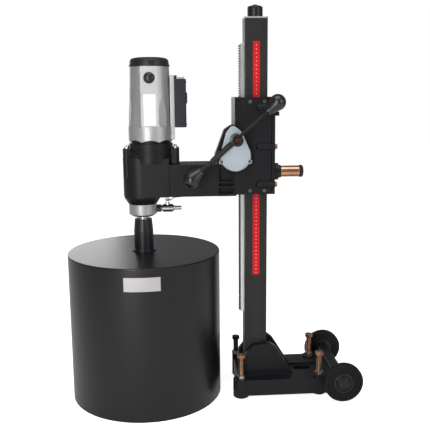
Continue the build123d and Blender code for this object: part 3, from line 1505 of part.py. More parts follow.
with BuildPart() as bit_adapter:
    with BuildSketch(Plane.XY.offset(adapter_top)):
        with Locations(spindle_spot):
            Circle(adapter_top_radius)
    with BuildSketch(Plane.XY.offset(adapter_shoulder)):
        with Locations(spindle_spot):
            Circle(adapter_radius)
    loft()
    with BuildSketch(Plane.XY.offset(bit_height)):
        with Locations(spindle_spot):
            Circle(adapter_radius)
    extrude(amount=adapter_shoulder - bit_height)
    with BuildSketch(Plane.XY.offset(bit_height)):
        with Locations(spindle_spot):
            Circle(adapter_flange_radius)
    extrude(amount=adapter_flange_height)
    with BuildSketch(Plane.XY.offset(bit_height - bit_plate)):
        with Locations(spindle_spot):
            Circle(adapter_spigot_radius)
    extrude(amount=bit_plate)
    with BuildSketch(Plane.XY.offset(spindle_bottom)):
        with Locations(spindle_spot):
            Circle(spindle_radius)
    extrude(amount=adapter_overlap, mode=Mode.SUBTRACT)
    with BuildSketch(Plane.XY.offset(bit_height - bit_plate)):
        with Locations(spindle_spot):
            Circle(water_bore + 1)
    extrude(amount=spindle_bottom - bit_height + bit_plate, mode=Mode.SUBTRACT)
save(bit_adapter, "bit_adapter")

with BuildPart() as core_bit:
    with BuildSketch():
        with Locations(spindle_spot):
            Circle(bit_radius)
    extrude(amount=bit_height)
    fillet(core_bit.faces().sort_by(Axis.Z)[-1].edges(), radius=bit_edge)
    with BuildSketch():
        with Locations(spindle_spot):
            Circle(bit_radius - bit_wall)
    extrude(amount=bit_height - bit_plate, mode=Mode.SUBTRACT)
    with BuildSketch(Plane.XY.offset(bit_height - bit_plate)):
        with Locations(spindle_spot):
            Circle(adapter_spigot_radius)
    extrude(amount=bit_plate, mode=Mode.SUBTRACT)
save(core_bit, "core_bit")

label_half_width = bit_radius * sin(radians(bit_label_arc / 2))
with BuildPart() as bit_label:
    with BuildSketch(Plane.XY.offset(bit_label_bottom)):
        with Locations(spindle_spot):
            Circle(bit_radius + bit_label_thickness)
            Circle(bit_radius, mode=Mode.SUBTRACT)
        with Locations((spindle_x, -bit_radius)):
            Rectangle(2 * label_half_width, bit_radius, mode=Mode.INTERSECT)
    extrude(amount=bit_label_height)
save(bit_label, "bit_label")

with BuildPart() as water_collar:
    with BuildSketch(Plane.XY.offset(collar_step)):
        with Locations(spindle_spot):
            Circle(collar_radius)
    extrude(amount=cone_bottom - collar_step)
    with BuildSketch(Plane.XY.offset(collar_bottom)):
        with Locations(spindle_spot):
            Circle(collar_low_radius)
    with BuildSketch(Plane.XY.offset(collar_step)):
        with Locations(spindle_spot):
            Circle(collar_radius)
    loft()
    with BuildSketch(Plane.XY.offset(collar_bottom)):
        with Locations(spindle_spot):
            Circle(spindle_radius + running_gap)
    extrude(amount=cone_bottom - collar_bottom, mode=Mode.SUBTRACT)
    with BuildSketch(Plane.XY.offset(collar_bottom + gallery_lip)):
        with Locations(spindle_spot):
            Circle(gallery_radius)
    extrude(amount=cone_bottom - collar_bottom - 2 * gallery_lip, mode=Mode.SUBTRACT)
    with BuildSketch(side_plane(spindle_x)):
        with Locations((0, water_height)):
            Circle(water_bore)
    extrude(amount=collar_radius + 1, mode=Mode.SUBTRACT)
save(water_collar, "water_collar")

# Ball valve: hex end in the collar, body with a turning ball, barbed nipple.
valve_hex_start = spindle_x + collar_radius
with BuildPart() as valve_body:
    with BuildSketch(side_plane(valve_hex_start)):
        with Locations((0, water_height)):
            RegularPolygon(valve_hex_radius, 6)
    extrude(amount=valve_hex_end - valve_hex_start)
    with BuildSketch(side_plane(valve_hex_end)):
        with Locations((0, water_height)):
            Circle(valve_body_radius - 3)
    extrude(amount=5)
    with BuildSketch(side_plane(valve_hex_end + 4)):
        with Locations((0, water_height)):
            Circle(valve_body_radius)
    extrude(amount=valve_body_end - valve_hex_end - 4)
    with BuildSketch(Plane.XY.offset(water_height)):
        with Locations((valve_stem_x, 0)):
            Circle(valve_stem_radius + 3)
    extrude(amount=15)
    with BuildSketch(side_plane(valve_hex_start - 1)):
        with Locations((0, water_height)):
            Circle(water_bore)
    extrude(amount=valve_body_end - valve_hex_start + 2, mode=Mode.SUBTRACT)
    with Locations((valve_stem_x, 0, water_height)):
        Sphere(valve_ball_radius + running_gap, mode=Mode.SUBTRACT)
    with BuildSketch(Plane.XY.offset(water_height)):
        with Locations((valve_stem_x, 0)):
            Circle(valve_stem_radius + running_gap)
    extrude(amount=16, mode=Mode.SUBTRACT)
save(valve_body, "valve_body")

with BuildPart() as hose_nipple:
    with BuildSketch(side_plane(valve_body_end)):
        with Locations((0, water_height)):
            Circle(nipple_radius + 1.5)
    extrude(amount=4)
    with BuildSketch(side_plane(valve_body_end + 4)):
        with Locations((0, water_height)):
            Circle(nipple_radius)
    extrude(amount=nipple_end - valve_body_end - 4)
    with BuildSketch(side_plane(valve_body_end)):
        with Locations((0, water_height)):
            Circle(nipple_bore)
    extrude(amount=nipple_end - valve_body_end, mode=Mode.SUBTRACT)
save(hose_nipple, "hose_nipple")

lever_base = valve_stem_top - 4
with BuildPart() as valve_stem:
    with Locations((valve_stem_x, 0, water_height)):
        Sphere(valve_ball_radius)
    with BuildSketch(Plane.XY.offset(water_height)):
        with Locations((valve_stem_x, 0)):
            Circle(valve_stem_radius)
    extrude(amount=lever_base - water_height)
    with BuildSketch(Plane.XY.offset(lever_base + lever_thickness)):
        with Locations((valve_stem_x, 0)):
            RegularPolygon(valve_stem_radius + 2, 6)
    extrude(amount=3)
    with BuildSketch(Plane.XY.offset(lever_base)):
        with Locations((valve_stem_x, 0)):
            Circle(valve_stem_radius)
    extrude(amount=lever_thickness)
    with BuildSketch(side_plane(valve_stem_x)):
        with Locations((0, water_height)):
            Circle(water_bore)
    extrude(amount=valve_ball_radius + 1, both=True, mode=Mode.SUBTRACT)
save(valve_stem, "valve_stem")

lever_line = [
    (valve_stem_x - 6, lever_base),
    (valve_stem_x + 9, lever_base),
    (valve_stem_x + 16, lever_base + lever_rise),
    (valve_stem_x + lever_length, lever_base + lever_rise + 2),
]
lever_top_line = [(x, z + lever_thickness) for x, z in reversed(lever_line)]
with BuildPart() as valve_lever:
    with BuildSketch(front_plane(lever_width / 2)):
        with BuildLine():
            Polyline(*lever_line, *lever_top_line, close=True)
        make_face()
    extrude(amount=lever_width)
    with BuildSketch(Plane.XY.offset(lever_base)):
        with Locations((valve_stem_x, 0)):
            Circle(valve_stem_radius)
    extrude(amount=lever_thickness, mode=Mode.SUBTRACT)
save(valve_lever, "valve_lever")

with BuildPart() as drill_bracket:
    with BuildSketch(Plane.XY.offset(root_bottom)):
        with Locations(((bracket_left + bracket_right) / 2, 0)):
            Rectangle(bracket_right - bracket_left, 2 * arm_half)
    extrude(amount=root_top - root_bottom)
    fillet(drill_bracket.edges().filter_by(Axis.X), radius=3)
    with BuildSketch(side_plane(bracket_left + 12)):
        with Locations((0, (root_bottom + root_top) / 2)):
            Rectangle(2 * arm_half - 20, root_top - root_bottom - 20)
    extrude(amount=bracket_right - bracket_left - 24, mode=Mode.SUBTRACT)
save(drill_bracket, "drill_bracket")

# Silver mounting plate and black switch box at the motor's side.
with BuildPart() as switch_bracket:
    with BuildSketch(Plane.XY.offset(bracket_plate_bottom)):
        with Locations(((motor_x + bracket_plate_right) / 2, 0)):
            Rectangle(bracket_plate_right - motor_x, 2 * bracket_plate_half)
        with Locations(motor_spot):
            Circle(ring_radius, mode=Mode.SUBTRACT)
    extrude(amount=motor_bottom - bracket_plate_bottom)
    with BuildSketch(Plane.XY.offset(motor_bottom)):
        with Locations(((motor_x + bracket_plate_right) / 2, 0)):
            Rectangle(bracket_plate_right - motor_x, 2 * bracket_plate_half)
        with Locations(motor_spot):
            Circle(motor_radius, mode=Mode.SUBTRACT)
    extrude(amount=bracket_plate_top - motor_bottom)
save(switch_bracket, "switch_bracket")

box_left = bracket_plate_right
with BuildPart() as switch_box:
    with BuildSketch(Plane.XY.offset(box_bottom)):
        with Locations(((box_left + box_right) / 2, 0)):
            Rectangle(box_right - box_left, 2 * box_half)
    extrude(amount=box_top - box_bottom)
    fillet(switch_box.edges().filter_by(Axis.Z).group_by(Axis.X)[-1], radius=3)
    with BuildSketch(Plane.XY.offset(box_bottom + box_wall)):
        with Locations(((box_left + box_right) / 2, 0)):
            Rectangle(box_right - box_left - 2 * box_wall, 2 * (box_half - box_wall))
    extrude(amount=box_top - box_bottom - 2 * box_wall, mode=Mode.SUBTRACT)
    with BuildSketch(side_plane(box_right - box_wall - 1)):
        with Locations((0, rocker_height)):
            Rectangle(2 * (rocker_half_width + rocker_gap), 2 * (rocker_half_height + rocker_gap))
    extrude(amount=box_wall + 2, mode=Mode.SUBTRACT)
    gland_x = (box_left + box_right) / 2
    with BuildSketch(front_plane(box_half - box_wall - 1)):
        with Locations((gland_x, gland_height)):
            Circle(gland_bore)
    extrude(amount=-box_wall - 2, mode=Mode.SUBTRACT)
save(switch_box, "switch_box")

with BuildPart() as switch_rocker:
    with BuildSketch(side_plane(box_right + rocker_proud - rocker_depth)):
        with Locations((0, rocker_height)):
            Rectangle(2 * rocker_half_width, 2 * rocker_half_height)
    extrude(amount=rocker_depth)
    fillet(switch_rocker.edges().filter_by(Axis.Y).group_by(Axis.X)[-1], radius=2)
save(switch_rocker, "switch_rocker")

with BuildPart() as cable_gland:
    with BuildSketch(front_plane(box_half)):
        with Locations((gland_x, gland_height)):
            Circle(gland_radius)
            Circle(gland_bore, mode=Mode.SUBTRACT)
    extrude(amount=-gland_length)
save(cable_gland, "cable_gland")
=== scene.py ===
# %% [markdown]
# # A core drill rig
# The rig is a square column on a wheeled base. A carriage climbs the column on a
# rack, and it carries an upright motor that turns a wide core bit. The shapes that
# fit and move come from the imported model. This script adds the camera, the light,
# the finishes, and the shapes that plain solids can't give.
# %% Load the frame
import json
from math import cos, pi, radians, sin, sqrt

import bpy
from mathutils import Matrix, Vector


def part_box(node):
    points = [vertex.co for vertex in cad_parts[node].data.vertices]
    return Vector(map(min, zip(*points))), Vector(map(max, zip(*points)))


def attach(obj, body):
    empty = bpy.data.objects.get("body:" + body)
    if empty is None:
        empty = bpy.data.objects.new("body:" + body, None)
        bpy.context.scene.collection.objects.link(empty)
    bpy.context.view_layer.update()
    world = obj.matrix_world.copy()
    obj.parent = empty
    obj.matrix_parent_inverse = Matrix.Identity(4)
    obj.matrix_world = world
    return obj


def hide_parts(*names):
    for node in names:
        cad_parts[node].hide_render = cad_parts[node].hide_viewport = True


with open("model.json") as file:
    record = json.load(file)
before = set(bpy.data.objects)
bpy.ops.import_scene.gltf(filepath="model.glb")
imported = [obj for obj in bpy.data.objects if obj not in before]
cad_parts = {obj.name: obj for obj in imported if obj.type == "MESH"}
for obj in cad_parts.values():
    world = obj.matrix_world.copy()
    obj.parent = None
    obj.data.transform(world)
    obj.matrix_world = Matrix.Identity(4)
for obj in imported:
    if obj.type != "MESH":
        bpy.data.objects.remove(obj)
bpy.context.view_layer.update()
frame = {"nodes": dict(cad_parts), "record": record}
nodes = frame["nodes"]

# %% [markdown]
# ## Camera
# A rig this tall is usually shown from chest height with a longish lens, so that
# its upright lines stay nearly parallel. The camera stands to the left of the
# column and looks a little to the right and down.
# %% Camera
lens_mm = 56.27
camera_place = Vector((-0.227, -1.752, 0.808))
look = Vector((0.0678, 0.9810, -0.1820)).normalized()
roll = -0.009


def add_camera():
    data = bpy.data.cameras.new("camera")
    data.lens = lens_mm
    data.sensor_width = 36.0
    camera = bpy.data.objects.new("camera", data)
    bpy.context.scene.collection.objects.link(camera)
    level_right = look.cross(Vector((0, 0, 1))).normalized()
    level_up = level_right.cross(look)
    right = level_right * cos(roll) + level_up * sin(roll)
    up = right.cross(look)
    turn = Matrix((right, up, -look)).transposed()
    camera.matrix_world = Matrix.Translation(camera_place) @ turn.to_4x4()
    bpy.context.scene.camera = camera
    return camera


camera = add_camera()
print("camera at", tuple(round(value, 3) for value in camera.location))

# %% [markdown]
# ## Studio
# Black and silver pieces show mostly what they reflect, so the light matters more
# than their colour. A white floor and a bright sky give the pale ground, and tall
# softboxes at both sides draw the long upright highlights on the bit and the motor.
# Floor and sky look bright when seen directly but cast less light than that, so the
# ground stays white and the black pieces keep their depth.
# %% Studio
def switch_by_ray(tree, seen, cast):
    """One strength for what is seen directly, another for the light that it casts."""
    ray = tree.nodes.new("ShaderNodeLightPath")
    pick = tree.nodes.new("ShaderNodeMapRange")
    pick.inputs["To Min"].default_value = cast
    pick.inputs["To Max"].default_value = seen
    tree.links.new(ray.outputs["Is Camera Ray"], pick.inputs["Value"])
    return pick.outputs["Result"]


def add_floor():
    bpy.ops.mesh.primitive_plane_add(size=14, location=(0, 0, 0))
    floor = bpy.context.object
    floor.name = "studio_floor"
    paint = bpy.data.materials.new("studio_white")
    paint.use_nodes = True
    shader = paint.node_tree.nodes["Principled BSDF"]
    shader.inputs["Base Color"].default_value = (0.93, 0.93, 0.93, 1)
    shader.inputs["Roughness"].default_value = 0.9
    shader.inputs["Specular IOR Level"].default_value = 0.1
    shader.inputs["Emission Color"].default_value = (1, 1, 1, 1)
    glow = switch_by_ray(paint.node_tree, floor_glow_seen, floor_glow_cast)
    paint.node_tree.links.new(glow, shader.inputs["Emission Strength"])
    floor.data.materials.append(paint)


def add_softbox(name, place, aim, width, height, power):
    data = bpy.data.lights.new(name, "AREA")
    data.shape = "RECTANGLE"
    data.size = width
    data.size_y = height
    data.energy = power
    light = bpy.data.objects.new(name, data)
    light.location = place
    light.rotation_euler = (Vector(aim) - Vector(place)).to_track_quat("-Z", "Y").to_euler()
    bpy.context.scene.collection.objects.link(light)


def set_sky(seen, lighting):
    world = bpy.data.worlds.new("studio_sky")
    world.use_nodes = True
    tree = world.node_tree
    sky = tree.nodes["Background"]
    sky.inputs["Color"].default_value = (1, 1, 1, 1)
    tree.links.new(switch_by_ray(tree, seen, lighting), sky.inputs["Strength"])
    bpy.context.scene.world = world


floor_glow_seen = 0.75
floor_glow_cast = 0.12
sky_seen = 1.0
sky_cast = 0.29
add_floor()
set_sky(sky_seen, sky_cast)
# name, place, aim, width, height, power in watts
softboxes = (
    ("left_softbox", (-0.88, -1.85, 0.85), (-0.3, 0, 0.35), 0.32, 1.5, 24),
    ("right_softbox", (1.6, -1.6, 1.3), (0, 0, 0.6), 0.7, 1.4, 16),
    ("top_softbox", (-0.2, -0.6, 2.4), (-0.1, 0, 0.5), 1.6, 1.2, 22),
    ("back_softbox", (-1.15, 2.2, 0.95), (-0.4, 0, 0.4), 1.3, 0.7, 9),
)
for softbox in softboxes:
    add_softbox(*softbox)
bpy.context.scene.view_settings.view_transform = "Standard"
print("lights", [light.name for light in bpy.data.lights])

# %% [markdown]
# ## Finishes
# Every finish is one shader with the same three layers of detail: a slow change
# of colour, a fine grain in the roughness, and a small bump. The numbers differ:
# powder coat has a coarse bump, anodising almost none, and machined steel has a
# grain that runs one way.
# %% Helper that makes a finish
def add_node(tree, kind, **values):
    node = tree.nodes.new(kind)
    for key, value in values.items():
        if key in node.inputs:
            node.inputs[key].default_value = value
        else:
            setattr(node, key, value)
    return node


def make_finish(name, colour, roughness, metallic=0.0, grain=900.0, bump=0.1, spread=0.12,
                rough_spread=0.12, stretch=(1, 1, 1), wear=0.0, wear_colour=(0.5, 0.5, 0.5),
                coat=0.0, specular=0.5):
    """A painted, moulded or metal surface with grain, uneven gloss and worn edges."""
    material = bpy.data.materials.new(name)
    material.use_nodes = True
    tree = material.node_tree
    shader = tree.nodes["Principled BSDF"]
    link = tree.links.new
    shader.inputs["Metallic"].default_value = metallic
    shader.inputs["Specular IOR Level"].default_value = specular
    shader.inputs["Coat Weight"].default_value = coat
    shader.inputs["Coat Roughness"].default_value = 0.12
    place = add_node(tree, "ShaderNodeTexCoord")
    mapping = add_node(tree, "ShaderNodeMapping")
    mapping.inputs["Scale"].default_value = stretch
    link(place.outputs["Object"], mapping.inputs["Vector"])
    slow = add_node(tree, "ShaderNodeTexNoise", Scale=14.0, Detail=3.0)
    fine = add_node(tree, "ShaderNodeTexNoise", Scale=grain, Detail=4.0, Roughness=0.6)
    link(place.outputs["Object"], slow.inputs["Vector"])
    link(mapping.outputs["Vector"], fine.inputs["Vector"])
    tint = add_node(tree, "ShaderNodeValToRGB")
    low = [channel * (1 - spread) for channel in colour]
    high = [min(1.0, channel * (1 + spread)) for channel in colour]
    tint.color_ramp.elements[0].position = 0.3
    tint.color_ramp.elements[0].color = (*low, 1)
    tint.color_ramp.elements[1].position = 0.7
    tint.color_ramp.elements[1].color = (*high, 1)
    link(slow.outputs["Fac"], tint.inputs["Fac"])
    gloss = add_node(tree, "ShaderNodeMapRange")
    gloss.inputs["To Min"].default_value = max(0.03, roughness * (1 - rough_spread))
    gloss.inputs["To Max"].default_value = min(1.0, roughness * (1 + rough_spread))
    link(fine.outputs["Fac"], gloss.inputs["Value"])
    link(gloss.outputs["Result"], shader.inputs["Roughness"])
    rounding = add_node(tree, "ShaderNodeBevel", samples=4, Radius=0.0006)
    height = add_node(tree, "ShaderNodeBump", Strength=bump, Distance=0.0005)
    link(fine.outputs["Fac"], height.inputs["Height"])
    link(rounding.outputs["Normal"], height.inputs["Normal"])
    link(height.outputs["Normal"], shader.inputs["Normal"])
    if wear == 0.0:
        link(tint.outputs["Color"], shader.inputs["Base Color"])
        return material
    # worn edges: where the rounded normal leaves the flat one
    flat = add_node(tree, "ShaderNodeNewGeometry")
    agree = add_node(tree, "ShaderNodeVectorMath", operation="DOT_PRODUCT")
    link(rounding.outputs["Normal"], agree.inputs[0])
    link(flat.outputs["Normal"], agree.inputs[1])
    edge = add_node(tree, "ShaderNodeMapRange")
    edge.inputs["From Min"].default_value = 0.995
    edge.inputs["From Max"].default_value = 0.80
    link(agree.outputs["Value"], edge.inputs["Value"])
    amount = add_node(tree, "ShaderNodeMath", operation="MULTIPLY")
    amount.inputs[1].default_value = wear
    link(edge.outputs["Result"], amount.inputs[0])
    mix = add_node(tree, "ShaderNodeMix", data_type="RGBA")
    link(amount.outputs["Value"], mix.inputs["Factor"])
    link(tint.outputs["Color"], mix.inputs["A"])
    mix.inputs["B"].default_value = (*wear_colour, 1)
    link(mix.outputs["Result"], shader.inputs["Base Color"])
    return material


# %% The finishes of this rig
finishes = {
    "black_casting": make_finish(
        "powder_coat_black", (0.0065, 0.0065, 0.008), 0.42, grain=700, bump=0.25, specular=0.20,
        wear=0.30, wear_colour=(0.10, 0.10, 0.11)),
    "black_anodised": make_finish(
        "anodised_black", (0.017, 0.016, 0.015), 0.46, metallic=0.2, specular=0.3, grain=1200,
        bump=0.06, stretch=(1, 1, 0.02), wear=0.3, wear_colour=(0.12, 0.12, 0.12)),
    "bright_steel": make_finish(
        "machined_steel", (0.62, 0.62, 0.60), 0.32, metallic=1.0, grain=1500, bump=0.08,
        stretch=(1, 1, 0.05), spread=0.08),
    "red_strip": make_finish(
        "red_print", (0.47, 0.007, 0.012), 0.42, grain=400, bump=0.03, specular=0.2),
    "zinc_yellow": make_finish(
        "yellow_zinc", (0.31, 0.155, 0.088), 0.32, metallic=1.0, grain=900, bump=0.12,
        spread=0.35, wear=0.5, wear_colour=(0.75, 0.62, 0.42)),
    "dark_steel": make_finish(
        "blackened_steel", (0.014, 0.012, 0.011), 0.36, metallic=0.3, specular=0.3, grain=900,
        bump=0.12, wear=0.4, wear_colour=(0.16, 0.15, 0.14)),
    "black_rubber": make_finish(
        "wheel_rubber", (0.006, 0.006, 0.006), 0.62, specular=0.14, grain=600, bump=0.35,
        rough_spread=0.2),
    "black_plastic": make_finish(
        "moulded_plastic", (0.010, 0.010, 0.014), 0.40, specular=0.3, grain=1600, bump=0.18),
    "gloss_black": make_finish(
        "phenolic_gloss", (0.004, 0.004, 0.005), 0.32, grain=300, bump=0.03, coat=0.06),
    "silver_casting": make_finish(
        "silver_paint", (0.37, 0.37, 0.365), 0.42, metallic=0.7, grain=1400, bump=0.12,
        spread=0.05),
    "silver_plate": make_finish(
        "satin_plate", (0.50, 0.56, 0.62), 0.34, metallic=0.7, grain=1500, bump=0.06,
        stretch=(0.03, 1, 1), spread=0.06),
    "white_label": make_finish(
        "label_film", (0.70, 0.70, 0.71), 0.35, grain=300, bump=0.02, spread=0.02),
    "bronze": make_finish(
        "bearing_bronze", (0.45, 0.28, 0.11), 0.35, metallic=1.0, grain=900, bump=0.1),
    "copper_grip": make_finish(
        "copper_tube", (0.55, 0.27, 0.17), 0.20, metallic=1.0, grain=500, bump=0.04, spread=0.2),
    "nylon": make_finish("pad_nylon", (0.74, 0.72, 0.64), 0.5, grain=500, bump=0.1),
    "iron_core": make_finish(
        "laminated_iron", (0.16, 0.13, 0.11), 0.5, metallic=0.7, grain=900, bump=0.3,
        stretch=(0.05, 0.05, 4)),
    "bit_black": make_finish(
        "bit_paint", (0.0035, 0.0035, 0.005), 0.32, grain=500, bump=0.05, specular=0.34,
        wear=0.3, wear_colour=(0.10, 0.10, 0.11)),
    "chrome": make_finish(
        "nickel_plate", (0.70, 0.70, 0.69), 0.14, metallic=1.0, grain=500, bump=0.04),
    "lever_red": make_finish("dipped_red", (0.16, 0.02, 0.02), 0.35, grain=400, bump=0.06),
}


def give_finish(node, finish):
    slots = nodes[node].material_slots
    for place in range(len(slots)):
        slots[place].material = finish


for part_row in frame["record"]["subparts"]:
    give_finish(part_row["node"], finishes[part_row["material_slot"]])
# three pieces that share a slot with others but look different from them
own_finishes = {
    "carriage_screws": make_finish(
        "dull_screw_steel", (0.13, 0.13, 0.13), 0.4, metallic=0.9, grain=900, bump=0.1),
    "bit_label": make_finish(
        "bit_plate_satin", (0.40, 0.38, 0.39), 0.42, metallic=0.3, grain=1500, bump=0.05),
    "bit_adapter": make_finish(
        "adapter_blueing", (0.006, 0.006, 0.010), 0.36, grain=900, bump=0.12, specular=0.4,
        stretch=(1, 1, 0.1), wear=0.3, wear_colour=(0.12, 0.12, 0.13)),
}
for node, finish in own_finishes.items():
    give_finish(node, finish)
print("finishes", len(finishes) + len(own_finishes))

# %% [markdown]
# ## Painted shade on the rack teeth
# The tooth side is painted dark as painted shade for the gaps between the teeth,
# and the rack's ground sides stay bright. The teeth all point one way, so a step on
# one object coordinate puts the painted shade on them without painting each tooth.
# %% Paint shade on the teeth
rack_finish = make_finish("rack_steel", (0.68, 0.69, 0.70), 0.34, metallic=0.9, grain=1500,
                          bump=0.08, stretch=(1, 1, 0.05), spread=0.08)
tooth_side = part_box("rack")[0][0]
# the painted shade covers the rack up to this far from its tooth side, then fades out
shade_from = 0.0035
shade_until = 0.0055
tree = rack_finish.node_tree
shader = tree.nodes["Principled BSDF"]
unshaded_colour = shader.inputs["Base Color"].links[0].from_socket
where = tree.nodes.new("ShaderNodeTexCoord")
split = tree.nodes.new("ShaderNodeSeparateXYZ")
# mask for the painted shade: 0 near the tooth side, 1 further in
painted_tooth_shade = tree.nodes.new("ShaderNodeMapRange")
painted_tooth_shade.inputs["From Min"].default_value = tooth_side + shade_from
painted_tooth_shade.inputs["From Max"].default_value = tooth_side + shade_until
# painted shade: this dark colour stands for the shade between the teeth, mixed over the rack's own
# colour
painted_shade_mix = add_node(tree, "ShaderNodeMix", data_type="RGBA")
painted_shade_mix.inputs["A"].default_value = (0.035, 0.033, 0.03, 1)
tree.links.new(where.outputs["Object"], split.inputs["Vector"])
tree.links.new(split.outputs["X"], painted_tooth_shade.inputs["Value"])
tree.links.new(painted_tooth_shade.outputs["Result"], painted_shade_mix.inputs["Factor"])
tree.links.new(unshaded_colour, painted_shade_mix.inputs["B"])
tree.links.new(painted_shade_mix.outputs["Result"], shader.inputs["Base Color"])
give_finish("rack", rack_finish)
print("rack film starts at", round(tooth_side, 4))

# %% [markdown]
# ## Modelling helpers
# A lathe-turned piece is one half outline spun round its axis. The outline is
# drawn by extruding a single point from corner to corner, and the spin closes it.
# Everything is deselected first, because an operator acts on all that is selected.
# %% Helpers for turned pieces
body_groups = frame["record"]["behaviour"]["bodies"]
body_of_node = {node: body for body, group in body_groups.items() for node in group}
slot_of_node = {row["node"]: row["material_slot"] for row in frame["record"]["subparts"]}
mm = 0.001


def clear_selection():
    if bpy.context.object and bpy.context.object.mode != "OBJECT":
        bpy.ops.object.mode_set(mode="OBJECT")
    bpy.ops.object.select_all(action="DESELECT")


def hand_over(name, body, slot, *stands_for, finish=None):
    """Smooth the active piece, give it its finish, and let it ride on a body."""
    piece = bpy.context.object
    piece.name = name
    bpy.ops.object.shade_smooth_by_angle(angle=radians(35))
    piece.data.materials.clear()
    piece.data.materials.append(finish or finishes[slot])
    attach(piece, body)
    if stands_for:
        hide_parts(*stands_for)
    # flat faces keep flat shading right up to their rounded edges
    bpy.ops.object.modifier_add(type="WEIGHTED_NORMAL")
    piece.modifiers[-1].keep_sharp = True
    bpy.ops.object.modifier_apply(modifier=piece.modifiers[-1].name)
    print(name, len(piece.data.polygons), "faces")
    return piece


def turn(profile, origin, along=(0, 0, 1), steps=48):
    """Spin a profile of (radius, height) points in mm about an axis through origin."""
    clear_selection()
    axis = Vector(along).normalized()
    out = axis.orthogonal().normalized()
    points = [Vector(origin) + (out * radius + axis * height) * mm for radius, height in profile]
    bpy.ops.mesh.primitive_plane_add(size=0.001, location=points[0])
    bpy.ops.object.transform_apply(location=True)
    bpy.ops.object.mode_set(mode="EDIT")
    bpy.ops.mesh.select_mode(type="VERT")
    bpy.ops.mesh.select_all(action="SELECT")
    bpy.ops.mesh.merge(type="CENTER")
    for start, end in zip(points, points[1:]):
        bpy.ops.mesh.extrude_vertices_move(TRANSFORM_OT_translate={"value": end - start})
    bpy.ops.mesh.select_all(action="SELECT")
    bpy.ops.mesh.spin(steps=steps, angle=2 * pi, center=tuple(origin), axis=tuple(axis))
    bpy.ops.mesh.select_all(action="SELECT")
    bpy.ops.mesh.remove_doubles(threshold=0.000002)
    bpy.ops.mesh.normals_make_consistent(inside=False)
    bpy.ops.object.mode_set(mode="OBJECT")


def hex_block(origin, across, low, high, along=(0, 0, 1)):
    """A six-sided block in mm with chamfered corners, for a nut or a bolt head."""
    clear_selection()
    axis = Vector(along).normalized()
    middle = Vector(origin) + axis * (low + high) / 2 * mm
    tilt = axis.to_track_quat("Z", "Y").to_euler()
    bpy.ops.mesh.primitive_cylinder_add(vertices=6, radius=across * mm / sqrt(3),
                                        depth=(high - low) * mm, location=middle, rotation=tilt)
    bpy.ops.object.transform_apply(location=True, rotation=True)
    bpy.ops.object.modifier_add(type="BEVEL")
    chamfer = bpy.context.object.modifiers[-1]
    chamfer.width = 0.08 * (high - low) * mm
    chamfer.segments = 2
    bpy.ops.object.modifier_apply(modifier=chamfer.name)


def join_last(*pieces):
    """Join pieces into the first one, which becomes the active object."""
    clear_selection()
    for piece in pieces:
        piece.select_set(True)
    bpy.context.view_layer.objects.active = pieces[0]
    bpy.ops.object.join()
    return bpy.context.object


def middle_of(node):
    low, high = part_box(node)
    return (Vector(low) + Vector(high)) / 2


# %% [markdown]
# ## Rounded castings
# A cast or moulded piece has no knife edges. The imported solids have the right
# shape but sharp edges, so each is copied, its loose triangles are joined, and a
# small bevel rounds every edge that turns by more than about thirty degrees.
# %% Round the edges of the castings, plates and boxes
def soften(node, width):
    """Put a copy with rounded edges, of a width in mm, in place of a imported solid."""
    clear_selection()
    piece = bpy.data.objects.new(node + "_rounded", nodes[node].data.copy())
    bpy.context.scene.collection.objects.link(piece)
    piece.select_set(True)
    bpy.context.view_layer.objects.active = piece
    bpy.ops.object.mode_set(mode="EDIT")
    bpy.ops.mesh.select_all(action="SELECT")
    bpy.ops.mesh.remove_doubles(threshold=0.00001)
    bpy.ops.object.mode_set(mode="OBJECT")
    bpy.ops.object.modifier_add(type="BEVEL")
    rounding = piece.modifiers[-1]
    rounding.width = width * mm
    rounding.segments = 2
    rounding.limit_method = "ANGLE"
    rounding.angle_limit = radians(32)
    rounding.use_clamp_overlap = node in clamped
    bpy.ops.object.modifier_apply(modifier=rounding.name)
    return hand_over(node + "_rounded", body_of_node[node], slot_of_node[node], node)


# on these a narrow face would let two bevels cross, so the width gives way
clamped = {"gearbox_housing", "base_casting", "carriage_casting", "carriage_rear_plate"}
edge_sizes = {
    "arm": 0.5, "drill_bracket": 0.5, "carriage_casting": 0.8, "carriage_rear_plate": 0.8,
    "feed_gear_case": 1.2, "feed_gear_cover": 0.5, "switch_box": 1.6, "switch_bracket": 0.8,
    "base_casting": 1.0, "gearbox_housing": 0.6, "motor_label": 0.15, "column_end_plate": 0.8,
}
for node, width in edge_sizes.items():
    soften(node, width)

# %% [markdown]
# ## Motor cap and brush caps
# The cap is a moulded dome that ends in a lip where it meets the motor's shell.
# The brush caps are glossy domes in a ring. All are turned shapes, so a profile
# and a spin make them with fewer steps than cutting a cylinder would.
# %% Turn the motor cap
cap_low, cap_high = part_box("motor_cap")
cap_axis = middle_of("motor_cap")
cap_axis.z = cap_low[2]
cap_tall = (cap_high[2] - cap_low[2]) / mm
turn([(0, cap_tall), (16, cap_tall), (17, cap_tall - 0.8), (30, cap_tall - 0.9),
      (31, cap_tall - 0.2), (40, cap_tall - 1.6), (44.5, cap_tall - 3.4),
      (47.6, cap_tall - 5.8), (48.9, cap_tall - 8.5), (49.6, cap_tall - 13), (50.2, 5.4),
      (50.4, 4.6), (51.4, 4.2), (51.8, 3.4), (51.8, 0.5), (51.3, 0), (0, 0)],
     cap_axis, steps=96)
hand_over("motor_cap_dome", "carriage", "black_plastic", "motor_cap")

# %% Turn the brush caps
brush_middle = middle_of("brush_caps")
panel_face = 53.0 * mm
for side, direction, stands_for in (("near", -1, ("brush_caps",)), ("far", 1, ())):
    face = Vector((brush_middle.x, direction * panel_face, brush_middle.z))
    turn([(0, -0.5), (14, -0.5), (14, 2.2), (13.2, 3.4), (12.2, 3.2), (11.6, 2.6),
          (11.2, 3.0), (10.4, 4.2), (8.2, 5.4), (5, 6.3), (3.2, 6.5), (3, 5.9), (0, 5.9)],
         face, (0, direction, 0))
    hand_over("brush_cap_" + side, "carriage", "gloss_black", *stands_for)

